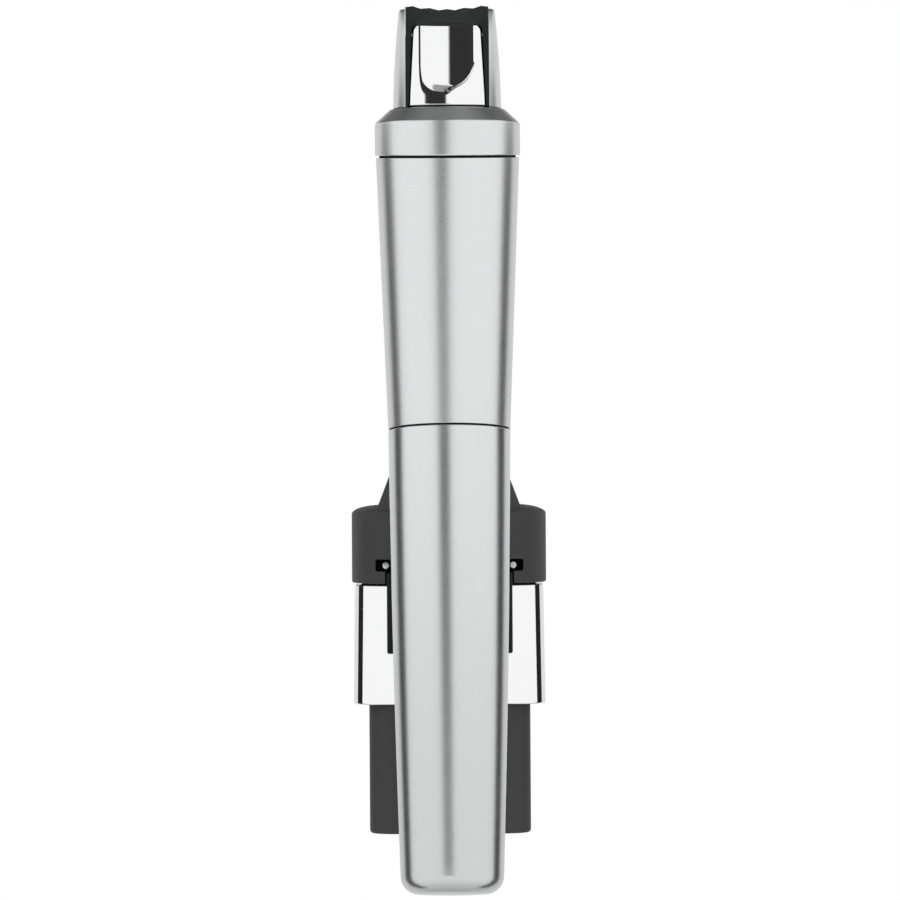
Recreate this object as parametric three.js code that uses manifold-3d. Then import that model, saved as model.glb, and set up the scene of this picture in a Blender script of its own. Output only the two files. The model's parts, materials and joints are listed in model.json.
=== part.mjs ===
// A wine preservation dispenser: a hand-held tap that reaches the wine through its cork with a hollow
// needle and fills the space that the wine leaves with gas from a capsule.
// Sizes are in millimetres and +Z is up. The needle runs along the Z axis, the lip of the bottle lies in
// the plane Z = 0, the handle stands on the -Y side and the spout points along +Y.
import * as THREE from "three";
import { mergeVertices } from "three/addons/utils/BufferGeometryUtils.js";
import Module from "manifold-3d";

// What the dispenser is made around
const NECK_RADIUS = 15;
const CAPSULE_RADIUS = 11;
const CAPSULE_LENGTH = 88;
const CAPSULE_NECK_RADIUS = 4.3;
const CAPSULE_NECK_LENGTH = 8;
const CAPSULE_SHOULDER = 13;
const CAPSULE_SHOULDER_SHARES = [0, 0.5, 0.8, 1];
const CAPSULE_BASE_ROUND = 4;
const CAPSULE_WALL = 1.4;
const CAPSULE_MOUTH_RADIUS = 2.4;

// Fits
const GAP = 0.3;
const SLIDE_GAP = 0.3;
const LOOSE_GAP = 0.5;
const OVERRUN = 4;

// Handle
const HANDLE_TILT = THREE.MathUtils.degToRad(6);
const SEAM_HEIGHT = 105.4;
const SEAM_SLOPE = THREE.MathUtils.degToRad(3);
const SEAM_GROOVE = 0.6;
const SLEEVE_LENGTH = 73.1;
const SLEEVE_FLARE = 2.9;
const SLEEVE_WALL = 1.8;
const CUP_WALL = 2;
const CUP_FLARE = 2.7;
const CUP_FLOOR = 3;
const CUP_EDGE = 3;
const CUP_BULGE_DEPTH = 0.35;
const THREAD_DEPTH = 0.5;
const THREAD_BANDS = 2;
const THREAD_FLANK_SHARE = 0.25;
const CUP_PROFILE_SHARES = [0.35, 0.7, 1];
const COLLAR_STEP = 0.25;
const COLLAR_BODY = 8.8;
const COLLAR_CHAMFER_RISE = 3.7;
const COLLAR_CHAMFER_RUN = 4.1;
const COLLAR_BORE_RADIUS = 10;

// Regulator inside the sleeve
const SPIGOT_LENGTH = 27.8;
const SEAL_LENGTH = 3;
const SEAL_WALL = 2.6;
const PIN_RADIUS = 1.6;
const PIN_BORE_RADIUS = 0.6;
const PIN_GRIP = 7;
const REGULATOR_TOP = 9;
const CHAMBER_DEPTH = 40;
const CHAMBER_WALL = 4.6;
const PISTON_LENGTH = 6;
const PISTON_STEM_RADIUS = 1.6;
const PISTON_STEM_LENGTH = 5;
const PISTON_TRAVEL = 0.5;
const REGULATOR_CAP_LENGTH = 6;
const REGULATOR_COIL_RADIUS = 6.2;
const REGULATOR_WIRE_RADIUS = 0.75;
const REGULATOR_COILS = 5;
const GAS_TUBE_RADIUS = 1.4;
const GAS_TUBE_BORE_RADIUS = 0.8;
const GAS_TUBE_SIDE_OFFSET = 5.5;
const GAS_TUBE_RISE = 3.6;

// Head
const HEAD_RISE = 0.6;
const HEAD_HEIGHT = 39;
const HEAD_NOSE_DROP = 4.5;
const HEAD_HALF_WIDTH = 14.6;
const NOSE_HALF_WIDTH = 12.4;
const NOSE_CENTRE = 1;
const SHOULDER_ROUND = 8;
const NOSE_ROUND = 16;
const CHIN_ROUND = 5;
const HEAD_TAPER_SHARES = [
  [0, 1],
  [0.36, 1],
  [0.5, 0.977],
  [0.63, 0.955],
  [0.77, 0.93],
  [0.92, 0.895],
  [1, 0.865],
];
const CORE_HALF_WIDTH = 10.8;
const COVER_WALL = 1.6;
const COVER_START = 7;
const SPIGOT_DEPTH = 9;

// Top grip of faceted rubber
const GRIP_THICKNESS = 4.9;
const GRIP_PEAK_HEIGHT = 1.1;
const GRIP_FACET_PITCH = 4.55;
const GRIP_FACETS_ACROSS = 6;
const GRIP_DISH_DEPTH = 0.7;
const GRIP_REAR_DEPTH = 12.4;

// Thumb trigger
const TRIGGER_TOP_HALF_WIDTH = 9;
const TRIGGER_BOTTOM_HALF_WIDTH = 10;
const TRIGGER_RECESS = 2.6;
const TRIGGER_BOW_RADIUS = 42;
const TRIGGER_FOOT_GAP = 0.9;
const TRIGGER_PIVOT_INSET = 8.1;
const TRIGGER_PIVOT_DROP = 7.4;
const TRIGGER_KNUCKLE_RADIUS = 2.3;
const TRIGGER_PIN_RADIUS = 1;
const TRIGGER_SWING = THREE.MathUtils.degToRad(7);
const SCOOP_HALF_WIDTH = 7.2;
const SCOOP_DEPTH = 1.9;
const SCOOP_BOW_RADIUS = 45;
const SCOOP_BOTTOM = 5;
const SPRING_SLOT_HALF_WIDTH = 3;
const TRIGGER_COIL_RADIUS = 1.75;
const TRIGGER_WIRE_RADIUS = 0.3;
const TRIGGER_COILS = 5;

// Valve
const STEM_DEPTH_BELOW_TOP = 18;
const STEM_RADIUS = 1.8;
const STEM_COLLAR_RADIUS = 3.2;
const STEM_COLLAR_LENGTH = 2;
const STEM_TRAVEL = 1.4;
const VALVE_COIL_RADIUS = 2.7;
const VALVE_WIRE_RADIUS = 0.35;
const VALVE_COILS = 4;
const VALVE_SPRING_LENGTH = 7;
const BLOCK_RADIUS = 8;
const BLOCK_OVERHANG = 7;
const BLOCK_TOP_WALL = 5;
const HUB_RADIUS = 4.6;
const HUB_LENGTH = 7;
const HUB_FLATS = 6;
const NEEDLE_RADIUS = 0.75;
const NEEDLE_TIP_HEIGHT = 5;
const NEEDLE_TIP_LENGTH = 3;
const NEEDLE_SEAT = 4;
const SPOUT_RADIUS = 3.1;
const SPOUT_BORE_RADIUS = 2.1;
const SPOUT_RISE = 7;
const SPOUT_REACH = 28;
const SPOUT_DROP = 9;
const SPOUT_SEAT = 2.4;
const SPOUT_SEAL_RADIUS = 0.7;

// Slide between the handle and the clamp
const RAIL_WEB_HALF_WIDTH = 5;
const RAIL_WEB_DEPTH = 3.2;
const RAIL_FLANGE_HALF_WIDTH = 9;
const RAIL_FLANGE_DEPTH = 2.8;
const RAIL_BACK_GAP = 0.9;
const KEEL_MARGIN = 3;
const RAIL_SCREW_HEAD_RADIUS = 2.8;
const RAIL_SCREW_HEAD_DEPTH = 1.5;
const RAIL_SCREW_RADIUS = 1.5;
const RAIL_SCREW_LENGTH = 8.5;
const RAIL_SCREW_SHARES = [0.2, 0.8];
const STOP_THICKNESS = 3;
const STOP_OVERHANG = 2.2;
const STOP_SCREW_RADIUS = 1.3;
const STOP_SCREW_LENGTH = 8;
const CARRIAGE_HALF_WIDTH = 16.75;
const CARRIAGE_NECK_HALF_WIDTH = 12;
const CARRIAGE_BACK_THICKNESS = 4.3;
const CARRIAGE_FRONT_WALL = 4.4;
const CARRIAGE_LEVER_GAP = 0.55;
const CARRIAGE_DROP = 28.9;
const TOWER_HEIGHT = 28;
const LINER_THICKNESS = 0.9;
const LINER_LENGTH = 24;

// Clamp cap
const CAP_DEPTH_OVERHANG = 1;
const CAP_CORNER = 13;
const CAP_DROP = 9.1;
const CAP_RIM_HEIGHT = 10.1;
const CAP_CROWN_SHARES = [
  [0, 0],
  [0.5, 0.03],
  [0.75, 0.09],
  [0.9, 0.2],
  [1, 0.42],
];
const CAP_CROWN_HEIGHT = 2.8;
const LIP_CLEARANCE = 0.5;
const TOWER_HALF_WIDTH = 19.2;
const TOWER_TOP_HALF_WIDTH = 13.2;
const TOWER_SETBACK = 1.2;
const POCKET_HALF_HEIGHT = 1.65;
const POCKET_OUTER = 2.9;
const POCKET_INNER = 1.7;
const GUIDE_RADIUS = 4;
const GUIDE_FLANGE_RADIUS = 5.6;
const GUIDE_FLANGE_HEIGHT = 1.2;
const GUIDE_CLEARANCE = 0.35;

// Clamp arms
const ARM_PIVOT_DROP = 3.9;
const ARM_PIN_RADIUS = 1;
const KNUCKLE_RADIUS = 2.2;
const KNUCKLE_HALF_LENGTH = 14;
const ARM_SPRING_HALF_LENGTH = 4.5;
const ARM_COIL_RADIUS = 1.55;
const ARM_WIRE_RADIUS = 0.25;
const ARM_COILS = 5;
const ARM_TOP_GAP = 0.6;
const LEVER_LENGTH = 32.3;
const LEVER_WALL = 1.5;
const LEVER_INSET = 0.8;
const LEVER_CORNER = 9;
const LEVER_EDGE = 1.2;
const LEG_LENGTH = 67.6;
const LEG_INSET = 3.7;
const LEG_WALL = 4.9;
const LEG_CHEEK_WALL = 1.6;
const LEG_EDGE = 1.2;
const ARM_PARTING = 4;
const PAD_THICKNESS = 1.8;
const PAD_RIBS = 6;
const PAD_RIB_DEPTH = 0.6;
const PAD_MARGIN = 4;
const PAD_LAND_SHARES = [0.25, 0.75];
const EDGE_STEP_SHARE = 0.3;

// How finely round pieces are faceted
const FINE = 40;
const MEDIUM = 20;
const COARSE = 12;
const WIRE_SIDES = 5;
const COIL_STEPS = 7;
const TUBE_SIDES = 6;
const TUBE_STEPS = 18;
const SPOUT_SIDES = 12;
const SPOUT_STEPS = 9;
const ROUND_STEPS = 4;
const CORNER_STEPS = 6;
const CAP_BACK_STEPS = 8;
const NOSE_STEPS = 14;
const REAR_STEPS = 18;

// Places that several pieces share
const cupFloorRadius = CAPSULE_RADIUS + LOOSE_GAP + CUP_WALL;
const cupMouthRadius = cupFloorRadius + CUP_FLARE;
const sleeveTopRadius = cupMouthRadius + SLEEVE_FLARE;
const sleeveBoreRadius = cupMouthRadius - SLEEVE_WALL;
const collarRadius = sleeveTopRadius + COLLAR_STEP;
const collarTop = SEAM_HEIGHT + COLLAR_BODY + COLLAR_CHAMFER_RISE;
const collarTopRadius = collarRadius - COLLAR_CHAMFER_RUN;
const headBottom = SEAM_HEIGHT + HEAD_RISE;
const headTop = headBottom + HEAD_HEIGHT;
const gasTubeHeight = collarTop + GAS_TUBE_RISE;
const stemHeight = headTop - STEM_DEPTH_BELOW_TOP;
const blockBottom = headBottom - BLOCK_OVERHANG;
const blockTop = stemHeight + BLOCK_TOP_WALL;
const spoutHeight = headBottom + SPOUT_RISE;
const cupMouth = -SLEEVE_LENGTH - SEAM_GROOVE;
const spigotEnd = -SLEEVE_LENGTH - SPIGOT_LENGTH;
const capsuleTop = spigotEnd - GAP - SEAL_LENGTH - GAP;
const capsuleBase = capsuleTop - CAPSULE_LENGTH;
const cupInside = capsuleBase - GAP;
const cupBase = cupInside - CUP_FLOOR;
const chamberTop = -REGULATOR_TOP;
const chamberFloor = chamberTop - CHAMBER_DEPTH;
const chamberRadius = sleeveBoreRadius - GAP - CHAMBER_WALL;
const lipRadius = NECK_RADIUS + LIP_CLEARANCE;
const padOuterRadius = NECK_RADIUS + PAD_THICKNESS;
const armPivotOffset = padOuterRadius + GAP;
const legHalfWidth = padOuterRadius + GAP + LEG_WALL;
const legHalfDepth = padOuterRadius + GAP + LEG_CHEEK_WALL;
const leverHalfWidth = legHalfWidth + LEG_INSET;
const leverHalfDepth = legHalfDepth + GAP + LEVER_WALL;
const capHalfWidth = leverHalfWidth + LEVER_INSET;
const capHalfDepth = leverHalfDepth + CAP_DEPTH_OVERHANG;
const carriageFront = -leverHalfDepth - CARRIAGE_LEVER_GAP;
const railFront = carriageFront - CARRIAGE_FRONT_WALL - SLIDE_GAP;
const railStep = railFront - RAIL_FLANGE_DEPTH;
const railBack = railStep - RAIL_WEB_DEPTH;
const handleOffset = -railBack + RAIL_BACK_GAP + collarRadius;
const headRear = -handleOffset - HEAD_HALF_WIDTH;
const noseFront = NOSE_CENTRE + NOSE_HALF_WIDTH;
const headBase = collarTop + GAP;
const coreTop = headTop - GRIP_THICKNESS;
const railTop = headBottom - GAP;
const carriageBack = railStep - SLIDE_GAP - CARRIAGE_BACK_THICKNESS;
const carriageBase = -CARRIAGE_DROP;
const railBase = carriageBase + STOP_THICKNESS + GAP + GAP;
const triggerPivot = { y: headRear + TRIGGER_PIVOT_INSET, z: headTop - TRIGGER_PIVOT_DROP };
const triggerRear = headRear + TRIGGER_RECESS;
const triggerBase = collarTop + TRIGGER_FOOT_GAP;
const windowFloor = headRear + GRIP_REAR_DEPTH;
// How far the trigger's foot sweeps towards the core, plus its running gap
const triggerSweep = (triggerPivot.z - triggerBase) * Math.sin(TRIGGER_SWING) + GAP;
const gripFront = -COVER_START;
const linerFit = SLIDE_GAP + LINER_THICKNESS;
const armTop = -CAP_DROP - ARM_TOP_GAP;
const needleTop = blockBottom + NEEDLE_SEAT;

const FINISHES = {
  silver: { color: 0xc9cacb, metalness: 0.85, roughness: 0.38 },
  chrome: { color: 0xf2f2f2, metalness: 1, roughness: 0.06 },
  steel: { color: 0xb4b6b8, metalness: 1, roughness: 0.3 },
  brass: { color: 0xb79a58, metalness: 1, roughness: 0.35 },
  casting: { color: 0x3b3b3b, metalness: 0.1, roughness: 0.55 },
  black: { color: 0x141414, metalness: 0, roughness: 0.45 },
  rubber: { color: 0x262727, metalness: 0, roughness: 0.8 },
};

const wasm = await Module();
wasm.setup();

// Six times the signed volume of a geometry, which is negative where its faces point inwards.
function signedVolume(position, triangles) {
  const [a, b, c] = [new THREE.Vector3(), new THREE.Vector3(), new THREE.Vector3()];
  let sum = 0;
  for (let i = 0; i < triangles.length; i += 3) {
    a.fromBufferAttribute(position, triangles[i]);
    b.fromBufferAttribute(position, triangles[i + 1]);
    c.fromBufferAttribute(position, triangles[i + 2]);
    sum += a.dot(b.cross(c));
  }
  return sum;
}

// Turns a closed geometry into a solid that can be joined and cut.
function solid(shape) {
  if (!shape.isBufferGeometry) return shape;
  const bare = shape.clone();
  bare.deleteAttribute("normal");
  bare.deleteAttribute("uv");
  const merged = mergeVertices(bare);
  const index = merged.index.array;
  const triangles = [];
  for (let i = 0; i < index.length; i += 3) {
    const [a, b, c] = [index[i], index[i + 1], index[i + 2]];
    if (a !== b && b !== c && c !== a) triangles.push(a, b, c);
  }
  if (signedVolume(merged.attributes.position, triangles) < 0) triangles.reverse();
  return new wasm.Manifold(
    new wasm.Mesh({
      numProp: 3,
      vertProperties: Float32Array.from(merged.attributes.position.array),
      triVerts: Uint32Array.from(triangles),
    }),
  );
}

const join = (...shapes) => shapes.map(solid).reduce((a, b) => a.add(b));
const cut = (shape, ...tools) => tools.map(solid).reduce((a, b) => a.subtract(b), solid(shape));
const common = (...shapes) => shapes.map(solid).reduce((a, b) => a.intersect(b));

function geometryOf(shape) {
  const { vertProperties, triVerts } = solid(shape).getMesh();
  const geometry = new THREE.BufferGeometry();
  geometry.setAttribute("position", new THREE.BufferAttribute(Float32Array.from(vertProperties), 3));
  geometry.setIndex(new THREE.BufferAttribute(Uint32Array.from(triVerts), 1));
  geometry.computeVertexNormals();
  return geometry;
}

function piece(parent, name, shape, finish) {
  const mesh = new THREE.Mesh(geometryOf(shape), new THREE.MeshStandardMaterial(FINISHES[finish]));
  mesh.name = name;
  parent.add(mesh);
  return mesh;
}

// Shapes: each gives a closed geometry in the frame of its group.
function block(x0, x1, y0, y1, z0, z1) {
  const box = new THREE.BoxGeometry(x1 - x0, y1 - y0, z1 - z0);
  return box.translate((x0 + x1) / 2, (y0 + y1) / 2, (z0 + z1) / 2);
}

function turned(profile, segments) {
  const points = profile.map(([r, z]) => new THREE.Vector2(r, z));
  return new THREE.LatheGeometry(points, segments).rotateX(Math.PI / 2);
}

function drum(radius, z0, z1, segments) {
  return turned([[0, z0], [radius, z0], [radius, z1], [0, z1]], segments);
}

function ring(inner, outer, z0, z1, segments) {
  return turned([[inner, z0], [outer, z0], [outer, z1], [inner, z1], [inner, z0]], segments);
}

const alongX = (geometry) => geometry.rotateY(Math.PI / 2);
const alongY = (geometry) => geometry.rotateX(-Math.PI / 2);

// A drum along X or Y between two places, centred on the other two coordinates.
function rodX(radius, x0, x1, y, z, segments) {
  return alongX(drum(radius, x0, x1, segments)).translate(0, y, z);
}

function rodY(radius, y0, y1, x, z, segments) {
  return alongY(drum(radius, y0, y1, segments)).translate(x, 0, z);
}

function prismZ(outline, z0, z1, curveSegments = 8) {
  const options = { depth: z1 - z0, bevelEnabled: false, curveSegments };
  return new THREE.ExtrudeGeometry(outline, options).translate(0, 0, z0);
}

// The outline's own x and y lie along Y and Z.
function prismX(outline, x0, x1, curveSegments = 8) {
  const options = { depth: x1 - x0, bevelEnabled: false, curveSegments };
  const axes = new THREE.Matrix4().makeBasis(
    new THREE.Vector3(0, 1, 0),
    new THREE.Vector3(0, 0, 1),
    new THREE.Vector3(1, 0, 0),
  );
  return new THREE.ExtrudeGeometry(outline, options).applyMatrix4(axes).translate(x0, 0, 0);
}

// The outline's own x and y lie along X and Z.
function prismY(outline, y0, y1, curveSegments = 8) {
  const options = { depth: y1 - y0, bevelEnabled: false, curveSegments };
  return new THREE.ExtrudeGeometry(outline, options).rotateX(Math.PI / 2).translate(0, y1, 0);
}

function outlineOf(points) {
  return new THREE.Shape(points.map(([x, y]) => new THREE.Vector2(x, y)));
}

// A stack of outlines with equal counts of points, skinned into one closed solid.
function loft(sections) {
  const count = sections[0].points.length;
  const position = [];
  const index = [];
  for (const { z, points } of sections) for (const [x, y] of points) position.push(x, y, z);
  for (let s = 0; s + 1 < sections.length; s++) {
    for (let i = 0; i < count; i++) {
      const j = (i + 1) % count;
      const [a, b] = [s * count + i, s * count + j];
      index.push(a, b, b + count, a, b + count, a + count);
    }
  }
  const top = (sections.length - 1) * count;
  for (let i = 1; i + 1 < count; i++) {
    index.push(0, i + 1, i);
    index.push(top, top + i, top + i + 1);
  }
  const geometry = new THREE.BufferGeometry();
  geometry.setAttribute("position", new THREE.Float32BufferAttribute(position, 3));
  geometry.setIndex(index);
  return geometry;
}

// A coil about the Z axis from z0 to z1.
class Coil extends THREE.Curve {
  constructor(radius, turns, z0, z1) {
    super();
    Object.assign(this, { radius, turns, z0, z1 });
  }

  getPoint(t, target = new THREE.Vector3()) {
    const angle = 2 * Math.PI * this.turns * t;
    const z = this.z0 + (this.z1 - this.z0) * t;
    return target.set(this.radius * Math.cos(angle), this.radius * Math.sin(angle), z);
  }
}

function polygon(radius, sides) {
  const corners = [];
  for (let i = 0; i < sides; i++) {
    const angle = (2 * Math.PI * i) / sides;
    corners.push([radius * Math.cos(angle), radius * Math.sin(angle)]);
  }
  return outlineOf(corners);
}

function tube(path, radius, sides, steps, boreRadius = 0) {
  const section = polygon(radius, sides);
  if (boreRadius > 0) section.holes.push(polygon(boreRadius, sides));
  return new THREE.ExtrudeGeometry(section, { steps, bevelEnabled: false, extrudePath: path });
}

function spring(radius, wireRadius, turns, z0, z1) {
  return tube(new Coil(radius, turns, z0, z1), wireRadius, WIRE_SIDES, turns * COIL_STEPS);
}

// An arc of a circle as points, from one angle to another.
function arc(x, y, radius, from, to, steps) {
  const points = [];
  for (let i = 0; i <= steps; i++) {
    const angle = from + ((to - from) * i) / steps;
    points.push([x + radius * Math.cos(angle), y + radius * Math.sin(angle)]);
  }
  return points;
}

const root = new THREE.Group();

// The handle's own frame: its origin is the middle of the collar's seam and its -Z runs down the handle.
const handle = new THREE.Group();
handle.position.set(0, -handleOffset, SEAM_HEIGHT);
handle.rotation.x = -HANDLE_TILT;
handle.updateMatrix();
root.add(handle);
const intoHandle = (geometry) => geometry.applyMatrix4(handle.matrix.clone().invert());

// Everything below the sloping seam under the collar, lowered by a drop.
function belowSeam(drop) {
  const reach = 2 * collarRadius;
  const half = block(-reach, reach, -reach, reach, -2 * SEAM_HEIGHT, 0);
  return half.rotateX(SEAM_SLOPE).translate(0, -handleOffset, SEAM_HEIGHT - drop);
}

// How the outside of the cup swells between its mouth and its base.
function cupRadiusAt(share) {
  return cupFloorRadius + CUP_FLARE * share + CUP_BULGE_DEPTH * Math.sin(Math.PI * share);
}

function makeUpperSleeve() {
  const shell = turned(
    [
      [sleeveTopRadius, OVERRUN],
      [sleeveTopRadius, 0],
      [cupMouthRadius, -SLEEVE_LENGTH],
      [sleeveBoreRadius, -SLEEVE_LENGTH],
      [sleeveBoreRadius, OVERRUN],
      [sleeveTopRadius, OVERRUN],
    ],
    FINE,
  );
  const keelTop = SEAM_HEIGHT - KEEL_MARGIN;
  const keelBase = SEAM_HEIGHT - SLEEVE_LENGTH + KEEL_MARGIN;
  const keel = block(
    -RAIL_WEB_HALF_WIDTH, RAIL_WEB_HALF_WIDTH, -handleOffset, railBack - GAP, keelBase, keelTop,
  );
  const bore = drum(sleeveBoreRadius, -SLEEVE_LENGTH - OVERRUN, 2 * OVERRUN, FINE);
  const holes = railScrewHeights().map((z) =>
    intoHandle(rodY(RAIL_SCREW_RADIUS + GAP, -handleOffset, railFront, 0, z, COARSE)),
  );
  const cap = intoHandle(belowSeam(SEAM_GROOVE / 2));
  return cut(common(join(shell, intoHandle(keel)), cap), bore, ...holes);
}

function railScrewHeights() {
  const keelBase = SEAM_HEIGHT - SLEEVE_LENGTH + KEEL_MARGIN;
  return RAIL_SCREW_SHARES.map((share) => keelBase + (SLEEVE_LENGTH - 2 * KEEL_MARGIN) * share);
}

// The cup has a thread relief of shallow bands inside its mouth.
function makeCapsuleCup() {
  const length = cupMouth - cupBase;
  const threadRadius = sleeveBoreRadius - GAP;
  const threadEnd = spigotEnd - GAP;
  const boreRadius = CAPSULE_RADIUS + LOOSE_GAP;
  const pitch = (cupMouth - threadEnd) / (THREAD_BANDS + 1);
  const profile = [[0, cupBase]];
  const edgeRadius = cupFloorRadius - CUP_EDGE;
  profile.push(...arc(edgeRadius, cupBase + CUP_EDGE, CUP_EDGE, -Math.PI / 2, 0, ROUND_STEPS));
  for (const share of CUP_PROFILE_SHARES) {
    profile.push([cupRadiusAt(share), cupBase + length * share]);
  }
  profile.push([threadRadius, cupMouth]);
  for (let i = THREAD_BANDS; i > 0; i--) {
    const z = threadEnd + pitch * i;
    profile.push([threadRadius, z + pitch * THREAD_FLANK_SHARE]);
    profile.push([threadRadius + THREAD_DEPTH, z]);
    profile.push([threadRadius, z - pitch * THREAD_FLANK_SHARE]);
  }
  profile.push([threadRadius, threadEnd], [boreRadius, threadEnd - CUP_EDGE]);
  profile.push([boreRadius, cupInside], [0, cupInside]);
  return turned(profile, FINE);
}

// The capsule is a drawn steel bottle whose mouth the piercing pin opens.
function makeCapsule() {
  const neckBase = capsuleTop - CAPSULE_NECK_LENGTH;
  const shoulder = neckBase - CAPSULE_SHOULDER;
  const roundMiddle = capsuleBase + CAPSULE_BASE_ROUND;
  const roundRadius = CAPSULE_RADIUS - CAPSULE_BASE_ROUND;
  const edge = arc(roundRadius, roundMiddle, CAPSULE_BASE_ROUND, -Math.PI / 2, 0, ROUND_STEPS);
  const shell = [[0, capsuleBase], ...edge];
  for (const share of CAPSULE_SHOULDER_SHARES) {
    const spread = Math.sqrt(1 - share * share);
    const width = CAPSULE_NECK_RADIUS + (CAPSULE_RADIUS - CAPSULE_NECK_RADIUS) * spread;
    shell.push([width, shoulder + CAPSULE_SHOULDER * share]);
  }
  shell.push([CAPSULE_NECK_RADIUS, capsuleTop], [CAPSULE_MOUTH_RADIUS, capsuleTop]);
  shell.push([CAPSULE_MOUTH_RADIUS, neckBase], [CAPSULE_RADIUS - CAPSULE_WALL, shoulder]);
  shell.push([CAPSULE_RADIUS - CAPSULE_WALL, roundMiddle], [0, capsuleBase + CAPSULE_WALL]);
  return turned(shell, MEDIUM);
}

// One turned body: the chamber for the piston above, the spigot for the cup below, a gas way between.
function makeRegulatorBody() {
  const bodyRadius = sleeveBoreRadius - GAP;
  const spigotRadius = bodyRadius - GAP - THREAD_DEPTH;
  const seat = spigotEnd + PIN_GRIP;
  return turned(
    [
      [chamberRadius, chamberTop],
      [bodyRadius, chamberTop],
      [bodyRadius, -SLEEVE_LENGTH],
      [spigotRadius, -SLEEVE_LENGTH],
      [spigotRadius, spigotEnd],
      [PIN_RADIUS + GAP, spigotEnd],
      [PIN_RADIUS + GAP, seat],
      [PIN_BORE_RADIUS + GAP, seat],
      [PIN_BORE_RADIUS + GAP, chamberFloor - PISTON_STEM_LENGTH],
      [PISTON_STEM_RADIUS + GAP, chamberFloor - PISTON_STEM_LENGTH],
      [PISTON_STEM_RADIUS + GAP, chamberFloor],
      [chamberRadius, chamberFloor],
      [chamberRadius, chamberTop],
    ],
    MEDIUM,
  );
}

function makeRegulatorParts() {
  const seat = spigotEnd + PIN_GRIP - GAP;
  const pinTip = capsuleTop + GAP;
  piece(handle, "piercing_pin", turned(
    [
      [PIN_BORE_RADIUS, pinTip],
      [PIN_RADIUS, pinTip + 2 * PIN_RADIUS],
      [PIN_RADIUS, seat],
      [PIN_BORE_RADIUS, seat],
      [PIN_BORE_RADIUS, pinTip],
    ],
    COARSE,
  ), "steel");
  const sealTop = spigotEnd - GAP;
  piece(handle, "capsule_seal", ring(
    PIN_RADIUS + GAP, PIN_RADIUS + GAP + SEAL_WALL, sealTop - SEAL_LENGTH, sealTop, COARSE,
  ), "rubber");
  const pistonRadius = chamberRadius - GAP;
  const pistonBase = chamberFloor + GAP;
  piece(handle, "regulator_piston", turned(
    [
      [0, pistonBase - PISTON_STEM_LENGTH + GAP],
      [PISTON_STEM_RADIUS, pistonBase - PISTON_STEM_LENGTH + GAP],
      [PISTON_STEM_RADIUS, pistonBase],
      [pistonRadius, pistonBase],
      [pistonRadius, pistonBase + PISTON_LENGTH],
      [0, pistonBase + PISTON_LENGTH],
    ],
    MEDIUM,
  ), "brass");
  const capBase = chamberTop - REGULATOR_CAP_LENGTH;
  const springBase = pistonBase + PISTON_LENGTH + PISTON_TRAVEL + GAP + REGULATOR_WIRE_RADIUS;
  const springTop = capBase - GAP - REGULATOR_WIRE_RADIUS;
  piece(handle, "regulator_spring", spring(
    REGULATOR_COIL_RADIUS, REGULATOR_WIRE_RADIUS, REGULATOR_COILS, springBase, springTop,
  ), "steel");
  piece(handle, "regulator_cap", ring(
    GAS_TUBE_RADIUS + GAP, chamberRadius - GAP, capBase, chamberTop, MEDIUM,
  ), "brass");
}

function makeCollar() {
  const floor = SEAM_HEIGHT - OVERRUN;
  const body = turned(
    [
      [COLLAR_BORE_RADIUS + GAP, floor],
      [collarRadius, floor],
      [collarRadius, SEAM_HEIGHT + COLLAR_BODY],
      [collarTopRadius, collarTop],
      [COLLAR_BORE_RADIUS + GAP, collarTop],
      [COLLAR_BORE_RADIUS + GAP, floor],
    ],
    FINE,
  ).translate(0, -handleOffset, 0);
  return cut(body, belowSeam(-SEAM_GROOVE / 2));
}

// The plan of the head: a half circle over the handle and a smaller one at the nose, joined by tangents.
function headPlan(scale, inset) {
  const rear = HEAD_HALF_WIDTH * scale - inset;
  const nose = NOSE_HALF_WIDTH * scale - inset;
  const lean = Math.asin((rear - nose) / (handleOffset + NOSE_CENTRE));
  return [
    ...arc(0, NOSE_CENTRE, nose, lean, Math.PI - lean, NOSE_STEPS),
    ...arc(0, -handleOffset, rear, Math.PI - lean, 2 * Math.PI + lean, REAR_STEPS),
  ];
}

// The side view of the head, from the chin round the back and over the top to the nose.
function headSide(inset) {
  const [rear, front] = [headRear - GAP + inset, noseFront + GAP - inset];
  const [base, top] = [headBottom + inset, headTop - inset];
  const noseTop = top - HEAD_NOSE_DROP;
  const side = new THREE.Shape();
  side.moveTo(front - CHIN_ROUND, base);
  side.lineTo(rear, base);
  side.lineTo(rear, top - SHOULDER_ROUND);
  side.quadraticCurveTo(rear, top, rear + SHOULDER_ROUND, top);
  side.lineTo(front - NOSE_ROUND, noseTop);
  side.quadraticCurveTo(front, noseTop, front, noseTop - NOSE_ROUND);
  side.lineTo(front, base + CHIN_ROUND);
  side.quadraticCurveTo(front, base, front - CHIN_ROUND, base);
  return side;
}

// The whole outside of the head, moved inwards by an inset.
function headForm(inset) {
  const height = headTop - headBottom + OVERRUN;
  const sections = HEAD_TAPER_SHARES.map(([share, scale]) => ({
    z: headBottom + height * share,
    points: headPlan(scale, inset),
  }));
  const reach = HEAD_HALF_WIDTH + OVERRUN;
  return common(loft(sections), prismX(headSide(inset), -reach, reach));
}

// The space that the collar takes under the head.
function collarSpace() {
  return drum(collarRadius + GAP, headBottom - OVERRUN, headBase, FINE).translate(0, -handleOffset, 0);
}

const coreRoof = (y) => coreTop - (HEAD_NOSE_DROP * (y - headRear)) / (noseFront - headRear);

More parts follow.
